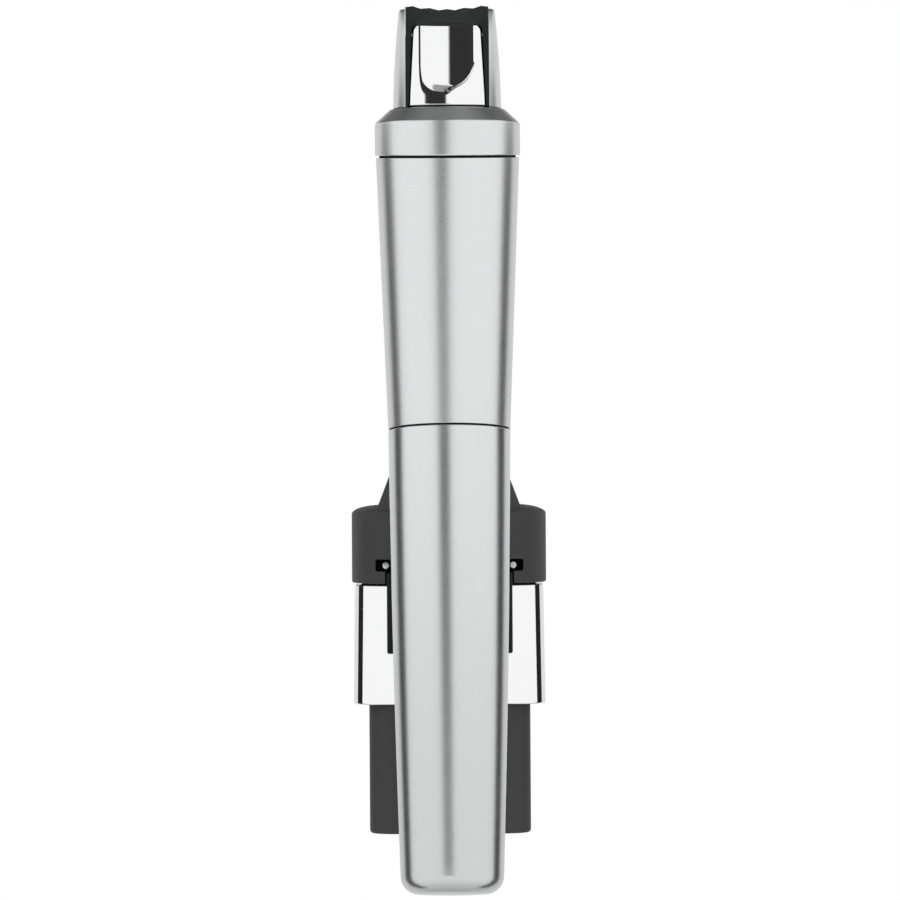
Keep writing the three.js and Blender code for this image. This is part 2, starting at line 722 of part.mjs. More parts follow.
function makeGasTubePath() {
  const out = handle.localToWorld(new THREE.Vector3(0, 0, chamberTop + GAP));
  const up = handle.localToWorld(new THREE.Vector3(0, 0, 0));
  const [side, top] = [GAS_TUBE_SIDE_OFFSET, gasTubeHeight];
  const blockRear = -Math.sqrt((BLOCK_RADIUS + GAP) ** 2 - (side - GAS_TUBE_RADIUS) ** 2) - GAP;
  return new THREE.CatmullRomCurve3([
    out,
    up,
    new THREE.Vector3(side / 2, -handleOffset, (SEAM_HEIGHT + top) / 2),
    new THREE.Vector3(side, -handleOffset + side, top - GAS_TUBE_RADIUS),
    new THREE.Vector3(side, -handleOffset + 2 * side, top),
    new THREE.Vector3(side, -handleOffset / 2, top),
    new THREE.Vector3(side, blockRear, top),
  ]);
}

function makeStem() {
  const rear = triggerBossFront() + GAP;
  const tip = -BLOCK_RADIUS / 2;
  const collarFront = valveSpringRear() - STEM_TRAVEL - GAP;
  return alongY(turned(
    [
      [0, rear],
      [STEM_RADIUS, rear],
      [STEM_RADIUS, collarFront - STEM_COLLAR_LENGTH],
      [STEM_COLLAR_RADIUS, collarFront - STEM_COLLAR_LENGTH],
      [STEM_COLLAR_RADIUS, collarFront],
      [STEM_RADIUS, collarFront],
      [STEM_RADIUS, tip - STEM_RADIUS],
      [0, tip],
    ],
    COARSE,
  )).translate(0, 0, stemHeight);
}

const triggerBossFront = () => windowFloor - triggerSweep;
const valveSpringFront = () => -BLOCK_RADIUS - GAP - GAP;
const valveSpringRear = () => valveSpringFront() - VALVE_SPRING_LENGTH;

function makeHeadFrame(gasPath) {
  const roof = outlineOf([
    [windowFloor + GAP, headBottom - OVERRUN],
    [noseFront, headBottom - OVERRUN],
    [noseFront, coreRoof(noseFront)],
    [windowFloor + GAP, coreRoof(windowFloor)],
  ]);
  const width = CORE_HALF_WIDTH;
  const body = common(headForm(COVER_WALL + GAP), prismX(roof, -width, width));
  const plug = drum(COLLAR_BORE_RADIUS, headBase - SPIGOT_DEPTH, headBase + OVERRUN, MEDIUM);
  plug.translate(0, -handleOffset, 0);
  const triggerRoom = block(-width, width, headRear, windowFloor + GAP, collarTop, headTop);
  const counterbore = rodY(
    STEM_COLLAR_RADIUS + GAP, valveSpringRear() - 2 * STEM_COLLAR_LENGTH - STEM_TRAVEL,
    valveSpringFront(), 0, stemHeight, COARSE,
  );
  return cut(
    join(cut(body, collarSpace()), cut(plug, triggerRoom)),
    drum(BLOCK_RADIUS + GAP, headBottom - OVERRUN, blockTop + GAP, MEDIUM),
    rodY(STEM_RADIUS + GAP, headRear, 0, 0, stemHeight, COARSE),
    counterbore,
    rodY(SPOUT_RADIUS + GAP, 0, noseFront + OVERRUN, 0, spoutHeight, COARSE),
    tube(gasPath, GAS_TUBE_RADIUS + GAP, TUBE_SIDES, TUBE_STEPS),
  );
}

function makeCheek(side) {
  const reach = HEAD_HALF_WIDTH + OVERRUN;
  const [inner, outer] = [CORE_HALF_WIDTH + GAP, reach];
  const half = side > 0
    ? block(inner, outer, headRear - OVERRUN, -COVER_START, headBottom - OVERRUN, headTop + OVERRUN)
    : block(-outer, -inner, headRear - OVERRUN, -COVER_START, headBottom - OVERRUN, headTop + OVERRUN);
  return cut(common(headForm(0), half), collarSpace());
}

function makeFrontCover() {
  const reach = HEAD_HALF_WIDTH + OVERRUN;
  const front = block(
    -reach, reach, -COVER_START + GAP, noseFront + OVERRUN, headBottom - OVERRUN, headTop + OVERRUN,
  );
  const inside = block(
    -CORE_HALF_WIDTH - GAP, CORE_HALF_WIDTH + GAP, -2 * COVER_START, noseFront, headBottom - OVERRUN,
    headTop + OVERRUN,
  );
  return cut(
    common(headForm(0), front),
    common(headForm(COVER_WALL), inside),
    drum(BLOCK_RADIUS + GAP, headBottom - OVERRUN, headBottom + OVERRUN, MEDIUM),
    rodY(SPOUT_RADIUS + GAP, 0, noseFront + OVERRUN, 0, spoutHeight, COARSE),
  );
}

// The rubber saddle. Its top is a sheet of facets: rows of low peaks, each row half a step from the next.
function makeTopGrip() {
  const half = CORE_HALF_WIDTH;
  const rows = Math.ceil((gripFront - headRear) / GRIP_FACET_PITCH) + 1;
  const columns = GRIP_FACETS_ACROSS;
  const position = [];
  const index = [];
  for (let r = 0; r < rows; r++) {
    const y = headRear - GAP + r * GRIP_FACET_PITCH;
    for (let c = 0; c <= columns; c++) {
      const x = (c - columns / 2) * GRIP_FACET_PITCH;
      const peak = (r + c) % 2 === 1 ? GRIP_PEAK_HEIGHT : 0;
      const dish = GRIP_DISH_DEPTH * Math.max(1 - (x / half) ** 2, 0);
      position.push(x, y, coreRoof(y) + GRIP_THICKNESS - GRIP_PEAK_HEIGHT / 2 + peak - dish);
    }
  }
  const level = rows * (columns + 1);
  for (let i = 0; i < level; i++) position.push(position[3 * i], position[3 * i + 1], headBottom);
  const quad = (a, b, c, d) => index.push(a, b, c, a, c, d);
  for (let r = 0; r + 1 < rows; r++) {
    for (let c = 0; c < columns; c++) {
      const a = r * (columns + 1) + c;
      const [b, d] = [a + 1, a + columns + 1];
      if ((r + c) % 2 === 1) index.push(a, b, d, b, d + 1, d);
      else index.push(a, b, d + 1, a, d + 1, d);
      quad(level + a, level + d, level + d + 1, level + b);
    }
  }
  const last = (rows - 1) * (columns + 1);
  for (let c = 0; c < columns; c++) {
    quad(c, level + c, level + c + 1, c + 1);
    quad(last + c, last + c + 1, level + last + c + 1, level + last + c);
  }
  for (let r = 0; r + 1 < rows; r++) {
    const [a, d] = [r * (columns + 1), (r + 1) * (columns + 1)];
    quad(a, d, level + d, level + a);
    quad(a + columns, level + a + columns, level + d + columns, d + columns);
  }
  const facets = new THREE.BufferGeometry();
  facets.setAttribute("position", new THREE.Float32BufferAttribute(position, 3));
  facets.setIndex(index);
  const side = outlineOf([
    [headRear - OVERRUN, headBase],
    [windowFloor, headBase],
    [windowFloor, coreRoof(windowFloor) + GAP],
    [gripFront, coreRoof(gripFront) + GAP],
    [gripFront, headTop + OVERRUN],
    [headRear - OVERRUN, headTop + OVERRUN],
  ]);
  const saddle = common(headForm(-GRIP_PEAK_HEIGHT / 2), prismX(side, -half, half), facets);
  const pinHole = rodX(
    TRIGGER_PIN_RADIUS + GAP, -half - OVERRUN, half + OVERRUN, triggerPivot.y, triggerPivot.z, COARSE,
  );
  return cut(saddle, windowSpace(), pinHole);
}

// The window between the grip's bands, with a small fit round the trigger.
function windowSpace() {
  const [low, high] = [headBase - OVERRUN, triggerPivot.z + TRIGGER_KNUCKLE_RADIUS + GAP];
  const [wide, narrow] = [TRIGGER_BOTTOM_HALF_WIDTH + GAP, TRIGGER_TOP_HALF_WIDTH + GAP];
  const outline = outlineOf([[-wide, low], [wide, low], [narrow, high], [-narrow, high]]);
  return prismY(outline, headRear - 2 * OVERRUN, windowFloor + OVERRUN);
}

// A slab across X whose face at y0 bows towards -Y, or whose face at y1 bows towards +Y.
function bowedSlab(bow, reach, y0, y1, z0, z1, bowsForward) {
  const half = Math.asin(reach / bow);
  const [middle, turn] = bowsForward ? [y1 - bow, Math.PI / 2] : [y0 + bow, -Math.PI / 2];
  const flat = bowsForward ? y0 : y1;
  const outline = outlineOf([
    ...arc(0, middle, bow, turn - half, turn + half, CORNER_STEPS),
    [bowsForward ? -reach : reach, flat],
    [bowsForward ? reach : -reach, flat],
  ]);
  return prismZ(outline, z0, z1);
}

function makeTrigger() {
  const front = windowFloor - triggerSweep;
  const plateTop = triggerPivot.z + TRIGGER_KNUCKLE_RADIUS - GAP;
  const [wide, narrow] = [TRIGGER_BOTTOM_HALF_WIDTH, TRIGGER_TOP_HALF_WIDTH];
  const outline = outlineOf([
    [-wide, triggerBase], [wide, triggerBase], [narrow, plateTop], [-narrow, plateTop],
  ]);
  const bowed = bowedSlab(
    TRIGGER_BOW_RADIUS, 2 * narrow, triggerRear, front, triggerBase - OVERRUN, plateTop + OVERRUN, false,
  );
  const plate = common(prismY(outline, headRear, front), bowed);
  const { y, z } = triggerPivot;
  const knuckle = rodX(TRIGGER_KNUCKLE_RADIUS, -narrow, narrow, y, z, COARSE);
  const reach = SCOOP_HALF_WIDTH;
  const scoopMiddle = triggerBase + SCOOP_BOTTOM + reach;
  const pocket = outlineOf([
    ...arc(0, scoopMiddle, reach, -Math.PI, 0, 2 * CORNER_STEPS),
    [reach, plateTop + OVERRUN],
    [-reach, plateTop + OVERRUN],
  ]);
  const scoopFloor = bowedSlab(
    SCOOP_BOW_RADIUS, reach + OVERRUN, headRear - OVERRUN, triggerRear + SCOOP_DEPTH, triggerBase,
    plateTop + 2 * OVERRUN, true,
  );
  const slot = block(
    -SPRING_SLOT_HALF_WIDTH, SPRING_SLOT_HALF_WIDTH, y - TRIGGER_KNUCKLE_RADIUS - GAP, y + OVERRUN,
    z - TRIGGER_KNUCKLE_RADIUS - GAP, z + OVERRUN,
  );
  return cut(
    join(plate, knuckle),
    common(prismY(pocket, headRear - OVERRUN, front), scoopFloor),
    slot,
    rodX(TRIGGER_PIN_RADIUS + GAP, -narrow - OVERRUN, narrow + OVERRUN, y, z, COARSE),
  );
}

function makeHead() {
  const gasPath = makeGasTubePath();
  piece(root, "head_frame", makeHeadFrame(gasPath), "black");
  piece(root, "left_cheek", makeCheek(-1), "silver");
  piece(root, "right_cheek", makeCheek(1), "silver");
  piece(root, "front_cover", makeFrontCover(), "silver");
  piece(root, "top_grip", makeTopGrip(), "rubber");
  piece(root, "trigger", makeTrigger(), "chrome");
  const { y, z } = triggerPivot;
  const pinEnd = CORE_HALF_WIDTH;
  piece(root, "trigger_pin", rodX(TRIGGER_PIN_RADIUS, -pinEnd, pinEnd, y, z, COARSE), "steel");
  const coilEnd = SPRING_SLOT_HALF_WIDTH - GAP - TRIGGER_WIRE_RADIUS;
  const coil = alongX(spring(TRIGGER_COIL_RADIUS, TRIGGER_WIRE_RADIUS, TRIGGER_COILS, -coilEnd, coilEnd));
  piece(root, "trigger_spring", coil.translate(0, y, z), "steel");
  piece(root, "valve_stem", makeStem(), "steel");
  const valveSpring = spring(
    VALVE_COIL_RADIUS, VALVE_WIRE_RADIUS, VALVE_COILS, valveSpringRear() + VALVE_WIRE_RADIUS,
    valveSpringFront() - VALVE_WIRE_RADIUS,
  );
  piece(root, "valve_spring", alongY(valveSpring).translate(0, 0, stemHeight), "steel");
  const gasTube = tube(gasPath, GAS_TUBE_RADIUS, TUBE_SIDES, TUBE_STEPS, GAS_TUBE_BORE_RADIUS);
  piece(root, "gas_tube", gasTube, "steel");
}

function makeSpoutPath(y0) {
  const [end, low] = [SPOUT_REACH, spoutHeight - SPOUT_DROP];
  return new THREE.CatmullRomCurve3([
    new THREE.Vector3(0, y0, spoutHeight),
    new THREE.Vector3(0, (2 * y0 + end) / 3, spoutHeight),
    new THREE.Vector3(0, (y0 + 2 * end) / 3, spoutHeight - SPOUT_DROP / 8),
    new THREE.Vector3(0, end - SPOUT_RADIUS / 2, spoutHeight - SPOUT_DROP / 2),
    new THREE.Vector3(0, end, low),
  ]);
}

function makeValve() {
  const seatRear = BLOCK_RADIUS - SPOUT_SEAT;
  const needleWay = NEEDLE_RADIUS + GAP;
  const stemWay = rodY(STEM_RADIUS + GAP, -BLOCK_RADIUS - OVERRUN, 0, 0, stemHeight, COARSE);
  const drop = drum(needleWay, blockBottom - OVERRUN, stemHeight, COARSE);
  const seat = rodY(SPOUT_RADIUS + GAP, seatRear, BLOCK_RADIUS + OVERRUN, 0, spoutHeight, COARSE);
  const way = rodY(SPOUT_BORE_RADIUS, 0, BLOCK_RADIUS, 0, spoutHeight, COARSE);
  const block = drum(BLOCK_RADIUS, blockBottom, blockTop, MEDIUM);
  piece(root, "valve_block", cut(block, stemWay, drop, seat, way), "black");
  const hubTop = blockBottom - GAP;
  const hub = drum(HUB_RADIUS, hubTop - HUB_LENGTH, hubTop, HUB_FLATS);
  const hubWay = drum(needleWay, hubTop - HUB_LENGTH - OVERRUN, hubTop + OVERRUN, COARSE);
  piece(root, "needle_hub", cut(hub, hubWay), "steel");
  piece(root, "needle", turned(
    [
      [0, NEEDLE_TIP_HEIGHT],
      [NEEDLE_RADIUS, NEEDLE_TIP_HEIGHT + NEEDLE_TIP_LENGTH],
      [NEEDLE_RADIUS, needleTop],
      [0, needleTop],
    ],
    COARSE,
  ), "steel");
  const spoutRear = seatRear + GAP;
  const spout = tube(makeSpoutPath(spoutRear), SPOUT_RADIUS, SPOUT_SIDES, SPOUT_STEPS, SPOUT_BORE_RADIUS);
  piece(root, "spout", spout, "steel");
  const sealPlace = noseFront + GAP + SPOUT_SEAL_RADIUS;
  const sealRadius = SPOUT_RADIUS + GAP + SPOUT_SEAL_RADIUS;
  const seal = new THREE.TorusGeometry(sealRadius, SPOUT_SEAL_RADIUS, TUBE_SIDES, MEDIUM);
  piece(root, "spout_seal", seal.rotateX(Math.PI / 2).translate(0, sealPlace, spoutHeight), "rubber");
}

// The slide rail is a T in plan: its web stands on the keel and its flange runs in the carriage.
function makeSlide() {
  const web = RAIL_WEB_HALF_WIDTH;
  const flange = RAIL_FLANGE_HALF_WIDTH;
  const section = outlineOf([
    [-web, railBack], [web, railBack], [web, railStep], [flange, railStep],
    [flange, railFront], [-flange, railFront], [-flange, railStep], [-web, railStep],
  ]);
  const heights = railScrewHeights();
  const headSeat = railFront - RAIL_SCREW_HEAD_DEPTH;
  const heads = heights.map((z) =>
    rodY(RAIL_SCREW_HEAD_RADIUS + GAP, headSeat - GAP, railFront + OVERRUN, 0, z, COARSE));
  const shanks = heights.map((z) =>
    rodY(RAIL_SCREW_RADIUS + GAP, railBack - OVERRUN, railFront, 0, z, COARSE));
  const railMiddle = (railBack + railFront) / 2;
  const stopHole = drum(STOP_SCREW_RADIUS + GAP, railBase - OVERRUN, railBase + STOP_SCREW_LENGTH, COARSE);
  stopHole.translate(0, railMiddle, 0);
  piece(root, "slide_rail", cut(prismZ(section, railBase, railTop), ...heads, ...shanks, stopHole), "steel");
  ["upper", "lower"].forEach((place, i) => {
    const z = heights[1 - i];
    const screw = join(
      rodY(RAIL_SCREW_HEAD_RADIUS, headSeat, railFront - GAP / 2, 0, z, COARSE),
      rodY(RAIL_SCREW_RADIUS, railFront - RAIL_SCREW_LENGTH, headSeat, 0, z, COARSE),
    );
    piece(root, `rail_screw_${place}`, screw, "steel");
  });
  const stopTop = railBase - GAP;
  const reach = flange + STOP_OVERHANG;
  const plate = block(-reach, reach, railBack, railFront, stopTop - STOP_THICKNESS, stopTop);
  const screwWay = drum(STOP_SCREW_RADIUS + GAP, carriageBase - OVERRUN, railBase, COARSE);
  piece(root, "rail_stop", cut(plate, screwWay.translate(0, railMiddle, 0)), "black");
  const screwBase = stopTop - STOP_THICKNESS;
  const stopScrew = drum(STOP_SCREW_RADIUS, screwBase, railBase + STOP_SCREW_LENGTH - GAP, COARSE);
  piece(root, "stop_screw", stopScrew.translate(0, railMiddle, 0), "steel");
}

function makeCarriage() {
  const wide = CARRIAGE_HALF_WIDTH;
  const neck = CARRIAGE_NECK_HALF_WIDTH;
  const step = -ARM_PIVOT_DROP - POCKET_HALF_HEIGHT - GAP;
  const lower = block(-wide, wide, carriageBack, carriageFront, carriageBase, step);
  const upper = block(-neck, neck, carriageBack, carriageFront, carriageBase, TOWER_HEIGHT);
  const web = RAIL_WEB_HALF_WIDTH + SLIDE_GAP;
  const flange = RAIL_FLANGE_HALF_WIDTH + linerFit;
  const [low, high] = [carriageBase - OVERRUN, TOWER_HEIGHT + OVERRUN];
  const slot = block(-flange, flange, railStep - SLIDE_GAP, railFront + linerFit, low, high);
  const mouth = block(-web, web, carriageBack - OVERRUN, railFront, low, high);
  const stop = RAIL_FLANGE_HALF_WIDTH + STOP_OVERHANG + GAP;
  const pocket = block(-stop, stop, railBack - GAP, railFront + linerFit, low, railBase);
  return cut(join(lower, upper), slot, mouth, pocket);
}

// A thin channel of slippery plastic on three sides of the rail's flange.
function makeLiner() {
  const inner = RAIL_FLANGE_HALF_WIDTH + SLIDE_GAP;
  const outer = inner + LINER_THICKNESS - GAP;
  const [back, front] = [railStep, railFront + SLIDE_GAP];
  const [low, high] = [-LINER_LENGTH / 2, LINER_LENGTH / 2];
  const whole = block(-outer, outer, back, front + LINER_THICKNESS - GAP, low, high);
  return cut(whole, block(-inner, inner, back - OVERRUN, front, low - OVERRUN, high + OVERRUN));
}

// The plan of the cap: round corners in front and a long curve behind that reaches back to the carriage.
function capPlan(inset) {
  const [w, d, r] = [capHalfWidth - inset, capHalfDepth - inset, CAP_CORNER];
  const back = carriageBack + inset;
  const flat = CARRIAGE_NECK_HALF_WIDTH;
  const right = arc(w - r, d - r, r, Math.PI / 2, 0, CORNER_STEPS);
  const start = -CAP_CORNER;
  for (let i = 1; i <= CAP_BACK_STEPS; i++) {
    const angle = (Math.PI / 2) * (i / CAP_BACK_STEPS);
    right.push([flat + (w - flat) * Math.cos(angle), start + (back - start) * Math.sin(angle)]);
  }
  const left = right.map(([x, y]) => [-x, y]).reverse();
  return [...right, ...left];
}

function makeClampCap() {
  const crown = CAP_CROWN_SHARES.map(([rise, run]) => ({
    z: CAP_RIM_HEIGHT + CAP_CROWN_HEIGHT * rise,
    points: capPlan(capHalfDepth * run),
  }));
  const body = loft([{ z: -CAP_DROP, points: capPlan(0) }, ...crown]);
  const roof = CAP_RIM_HEIGHT + CAP_CROWN_HEIGHT;
  const neck = CARRIAGE_NECK_HALF_WIDTH + GAP;
  const wingFront = carriageFront + CARRIAGE_FRONT_WALL;
  const wings = prismY(outlineOf([
    [-TOWER_HALF_WIDTH, CAP_RIM_HEIGHT], [TOWER_HALF_WIDTH, CAP_RIM_HEIGHT],
    [TOWER_HALF_WIDTH, roof], [TOWER_TOP_HALF_WIDTH, TOWER_HEIGHT],
    [-TOWER_TOP_HALF_WIDTH, TOWER_HEIGHT], [-TOWER_HALF_WIDTH, roof],
  ]), carriageBack, wingFront);
  const setBack = prismZ(outlineOf(capPlan(TOWER_SETBACK)), CAP_RIM_HEIGHT, TOWER_HEIGHT);
  const tower = common(wings, setBack);
  const [low, high] = [-CAP_DROP - OVERRUN, TOWER_HEIGHT + OVERRUN];
  const channel = block(-neck, neck, carriageBack - OVERRUN, carriageFront + GAP, low, high);
  const foot = CARRIAGE_HALF_WIDTH + GAP;
  const step = -ARM_PIVOT_DROP - POCKET_HALF_HEIGHT;
  const notch = block(-foot, foot, carriageBack - OVERRUN, carriageFront + GAP, low, step);
  const [x, z] = [armPivotOffset, -ARM_PIVOT_DROP];
  const tools = [channel, notch, drum(lipRadius, low, 0, FINE)];
  tools.push(drum(GUIDE_RADIUS + GAP, -OVERRUN, high, MEDIUM));
  const pinFront = KNUCKLE_HALF_LENGTH + 2 * ARM_PIN_RADIUS;
  for (const side of [-1, 1]) {
    const [a, b] = [side * (x - POCKET_INNER), side * (x + POCKET_OUTER)];
    const [inner, outer] = [Math.min(a, b), Math.max(a, b)];
    tools.push(block(
      inner, outer, carriageBack - OVERRUN, carriageFront + GAP,
      z - POCKET_HALF_HEIGHT, z + POCKET_HALF_HEIGHT,
    ));
    const well = KNUCKLE_RADIUS + LOOSE_GAP;
    tools.push(block(
      side * x - well, side * x + well, -KNUCKLE_HALF_LENGTH - GAP, KNUCKLE_HALF_LENGTH + GAP,
      low, z + well,
    ));
    tools.push(rodY(ARM_PIN_RADIUS + GAP, carriageFront - OVERRUN, pinFront + GAP, side * x, z, COARSE));
  }
  return cut(join(body, tower), ...tools);
}

function makeArmPlan(halfWidth, halfDepth, corner) {
  const middle = halfWidth - corner;
  return [
    [0, halfDepth],
    ...arc(middle, halfDepth - corner, corner, Math.PI / 2, 0, CORNER_STEPS),
    ...arc(middle, corner - halfDepth, corner, 0, -Math.PI / 2, CORNER_STEPS),
    [0, -halfDepth],
  ];
}

// A half round-cornered post with its lower edge, and its upper edge where asked, rounded by two steps.
function armPost(halfWidth, halfDepth, corner, low, high, edge, upperEdge) {
  const steps = [[0, edge], [edge * EDGE_STEP_SHARE, edge * EDGE_STEP_SHARE], [edge, 0]];
  const sections = steps.map(([rise, inset]) => ({
    z: low + rise,
    points: makeArmPlan(halfWidth - inset, halfDepth - inset, corner - inset),
  }));
  const upper = upperEdge ? steps.map(([rise, inset]) => ({
    z: high - rise,
    points: makeArmPlan(halfWidth - inset, halfDepth - inset, corner - inset),
  })).reverse() : [{ z: high, points: makeArmPlan(halfWidth, halfDepth, corner) }];
  return loft([...sections, ...upper]);
}

const mirrored = (side, geometry) => (side < 0 ? geometry.scale(-1, 1, 1) : geometry);

function makeArm(side, name) {
  const leverInner = leverHalfWidth - LEVER_WALL;
  const depthInner = leverHalfDepth - LEVER_WALL;
  const cornerInner = LEVER_CORNER - LEVER_WALL;
  const leverBase = armTop - LEVER_LENGTH;
  const legBase = armTop - LEG_LENGTH;
  const legStep = leverBase + LEVER_EDGE;
  const bore = drum(padOuterRadius + GAP, legBase - OVERRUN, OVERRUN, FINE);
  const parting = block(
    -ARM_PARTING, ARM_PARTING, -leverHalfDepth - OVERRUN, leverHalfDepth + OVERRUN,
    legBase - OVERRUN, OVERRUN,
  );
  const x = armPivotOffset;
  const z = -ARM_PIVOT_DROP;
  const reach = KNUCKLE_HALF_LENGTH;
  const tongue = block(x - KNUCKLE_RADIUS, x + KNUCKLE_RADIUS, -reach, reach, armTop - OVERRUN, z);
  const knuckle = join(rodY(KNUCKLE_RADIUS, -reach, reach, x, z, COARSE), tongue);
  const gapForSpring = block(
    x - OVERRUN, x + OVERRUN, -ARM_SPRING_HALF_LENGTH, ARM_SPRING_HALF_LENGTH,
    z - KNUCKLE_RADIUS, OVERRUN,
  );
  const pinWay = rodY(ARM_PIN_RADIUS + GAP, -reach - OVERRUN, reach + OVERRUN, x, z, COARSE);
  const upper = armPost(
    leverInner - GAP, depthInner - GAP, cornerInner - GAP, legStep, armTop, LEG_EDGE / 2, false,
  );
  const legCorner = LEVER_CORNER - LEG_INSET / 2;
  const lower = armPost(legHalfWidth, legHalfDepth, legCorner, legBase, legStep + OVERRUN, LEG_EDGE, false);
  const leg = cut(cut(join(upper, lower), bore), parting);
  const headroom = drum(lipRadius, armTop - OVERRUN, OVERRUN, FINE);
  const arm = cut(join(leg, cut(knuckle, headroom)), gapForSpring, pinWay);
  const outside = armPost(
    leverHalfWidth, leverHalfDepth, LEVER_CORNER, leverBase, armTop, LEVER_EDGE, true,
  );
  const inside = armPost(
    leverInner, depthInner, cornerInner, leverBase - OVERRUN, armTop + OVERRUN, LEVER_EDGE / 2, false,
  );
  const lever = cut(cut(outside, inside), parting);
  const pad = makePad(legBase);
  const padGap = block(
    -ARM_PARTING - PAD_MARGIN / 2, ARM_PARTING + PAD_MARGIN / 2, -2 * NECK_RADIUS, 2 * NECK_RADIUS,
    legBase - OVERRUN, OVERRUN,
  );
  const left = block(
    -2 * leverHalfDepth, 0, -2 * NECK_RADIUS, 2 * NECK_RADIUS, legBase - OVERRUN, OVERRUN,
  );
  const place = (shape) => mirrored(side, geometryOf(shape));
  piece(root, `${name}_arm`, place(arm), "casting");
  piece(root, `${name}_lever_cover`, place(lever), "chrome");
  piece(root, `${name}_neck_pad`, place(cut(pad, padGap, left)), "rubber");
  const pinFront = reach + 2 * ARM_PIN_RADIUS;
  const pin = rodY(ARM_PIN_RADIUS, carriageFront, pinFront, side * x, z, COARSE);
  piece(root, `${name}_hinge_pin`, pin, "steel");
  const coilEnd = ARM_SPRING_HALF_LENGTH - GAP - ARM_WIRE_RADIUS;
  const coil = alongY(spring(ARM_COIL_RADIUS, ARM_WIRE_RADIUS, ARM_COILS, -coilEnd, coilEnd));
  piece(root, `${name}_torsion_spring`, coil.translate(side * x, 0, z), "steel");
}

// The rubber pad that grips the bottle's neck, with a rib for each land.
function makePad(legBase) {
  const low = legBase + PAD_MARGIN;
  const high = armTop - PAD_MARGIN;
  const pitch = (high - low) / PAD_RIBS;
  const profile = [[padOuterRadius, low]];
  profile.push([padOuterRadius, high]);
  for (let i = PAD_RIBS; i > 0; i--) {
    const z = low + pitch * i;
    profile.push([NECK_RADIUS + PAD_RIB_DEPTH, z]);
    for (const share of PAD_LAND_SHARES) profile.push([NECK_RADIUS, z - pitch * share]);
  }
  profile.push([NECK_RADIUS + PAD_RIB_DEPTH, low], [padOuterRadius, low]);
  return turned(profile, MEDIUM);
}

function makeNeedleGuide() {
  const way = NEEDLE_RADIUS + GUIDE_CLEARANCE;
  const roof = CAP_RIM_HEIGHT + CAP_CROWN_HEIGHT + GAP;
  return turned(
    [
      [way, GAP],
      [GUIDE_RADIUS, GAP],
      [GUIDE_RADIUS, roof],
      [GUIDE_FLANGE_RADIUS, roof],
      [GUIDE_FLANGE_RADIUS, roof + GUIDE_FLANGE_HEIGHT / 2],
      [GUIDE_RADIUS, roof + GUIDE_FLANGE_HEIGHT],
      [2 * way, roof + GUIDE_FLANGE_HEIGHT],
      [way, roof - GUIDE_FLANGE_HEIGHT],
      [way, GAP],
    ],
    MEDIUM,
  );
}

function makeClamp() {
  piece(root, "clamp_cap", makeClampCap(), "casting");
  piece(root, "carriage", makeCarriage(), "black");
  piece(root, "glide_liner", makeLiner(), "black");
  piece(root, "needle_guide", makeNeedleGuide(), "black");
  makeArm(-1, "left");
  makeArm(1, "right");
}

function makeHandle() {
  piece(root, "collar", makeCollar(), "silver");
  piece(handle, "upper_sleeve", makeUpperSleeve(), "silver");
  piece(handle, "capsule_cup", makeCapsuleCup(), "silver");
  piece(handle, "gas_capsule", makeCapsule(), "steel");
  piece(handle, "regulator_body", makeRegulatorBody(), "brass");
  makeRegulatorParts();
}

makeHandle();
makeHead();
makeValve();
makeSlide();
makeClamp();

export default root;
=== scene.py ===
"""Looks of a wine preservation dispenser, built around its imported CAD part.

The needle runs along the Z axis, the lip of the bottle lies in the plane Z = 0, the handle stands on the -Y
side and the spout points along +Y. The camera looks along +Y, at the back of the handle. Sizes in the
classes are in millimetres, and meshes are in metres. A cutting tool reaches PAST millimetres, or a little
less, out of the piece that it cuts.
"""

import json
import logging
import math
from dataclasses import dataclass
from enum import Enum
from typing import Callable, ClassVar, Iterable, Optional, Sequence, Union

import bmesh
import bpy
from mathutils import Matrix, Vector


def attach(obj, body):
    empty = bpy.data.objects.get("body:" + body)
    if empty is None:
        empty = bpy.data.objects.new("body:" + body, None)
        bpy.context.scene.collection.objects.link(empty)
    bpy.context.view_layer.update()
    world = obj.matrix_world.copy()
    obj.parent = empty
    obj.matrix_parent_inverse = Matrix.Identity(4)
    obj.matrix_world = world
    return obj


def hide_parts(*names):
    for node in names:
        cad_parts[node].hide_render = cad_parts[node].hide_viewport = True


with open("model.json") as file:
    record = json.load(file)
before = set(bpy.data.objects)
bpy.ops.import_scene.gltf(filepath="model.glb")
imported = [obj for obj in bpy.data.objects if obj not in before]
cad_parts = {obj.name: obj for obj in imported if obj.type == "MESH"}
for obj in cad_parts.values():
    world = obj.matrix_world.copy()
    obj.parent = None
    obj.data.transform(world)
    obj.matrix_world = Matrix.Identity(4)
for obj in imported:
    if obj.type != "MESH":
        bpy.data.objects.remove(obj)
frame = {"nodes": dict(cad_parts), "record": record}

MM = 0.001
PAST = 4.0
LOG = logging.getLogger("dispenser")
WHITE = (1.0, 1.0, 1.0, 1.0)
Pair = tuple[float, float]
Place = tuple[float, float, float]
Colour = tuple[float, float, float]
Profile = tuple[Pair, ...]
Band = tuple[float, float, float]
Ramp = tuple[float, float, float, float]


class Body(Enum):
    """The rigid bodies of the part."""

    CLAMP = "clamp"
    DISPENSER = "dispenser"
    LEFT_JAW = "left_jaw"
    RIGHT_JAW = "right_jaw"
    TRIGGER = "trigger"
    STEM = "valve_stem"
    PISTON = "regulator_piston"
    CAPSULE = "gas_capsule"
    CUP = "capsule_cup"


class Slot(Enum):
    """The material slots of the record."""

    SILVER = "silver"
    CHROME = "chrome"
    STEEL = "steel"
    RAIL = "rail"
    BRASS = "brass"
    CASTING = "dark_casting"
    BLACK = "black_plastic"
    RUBBER = "rubber"


# Shader maths


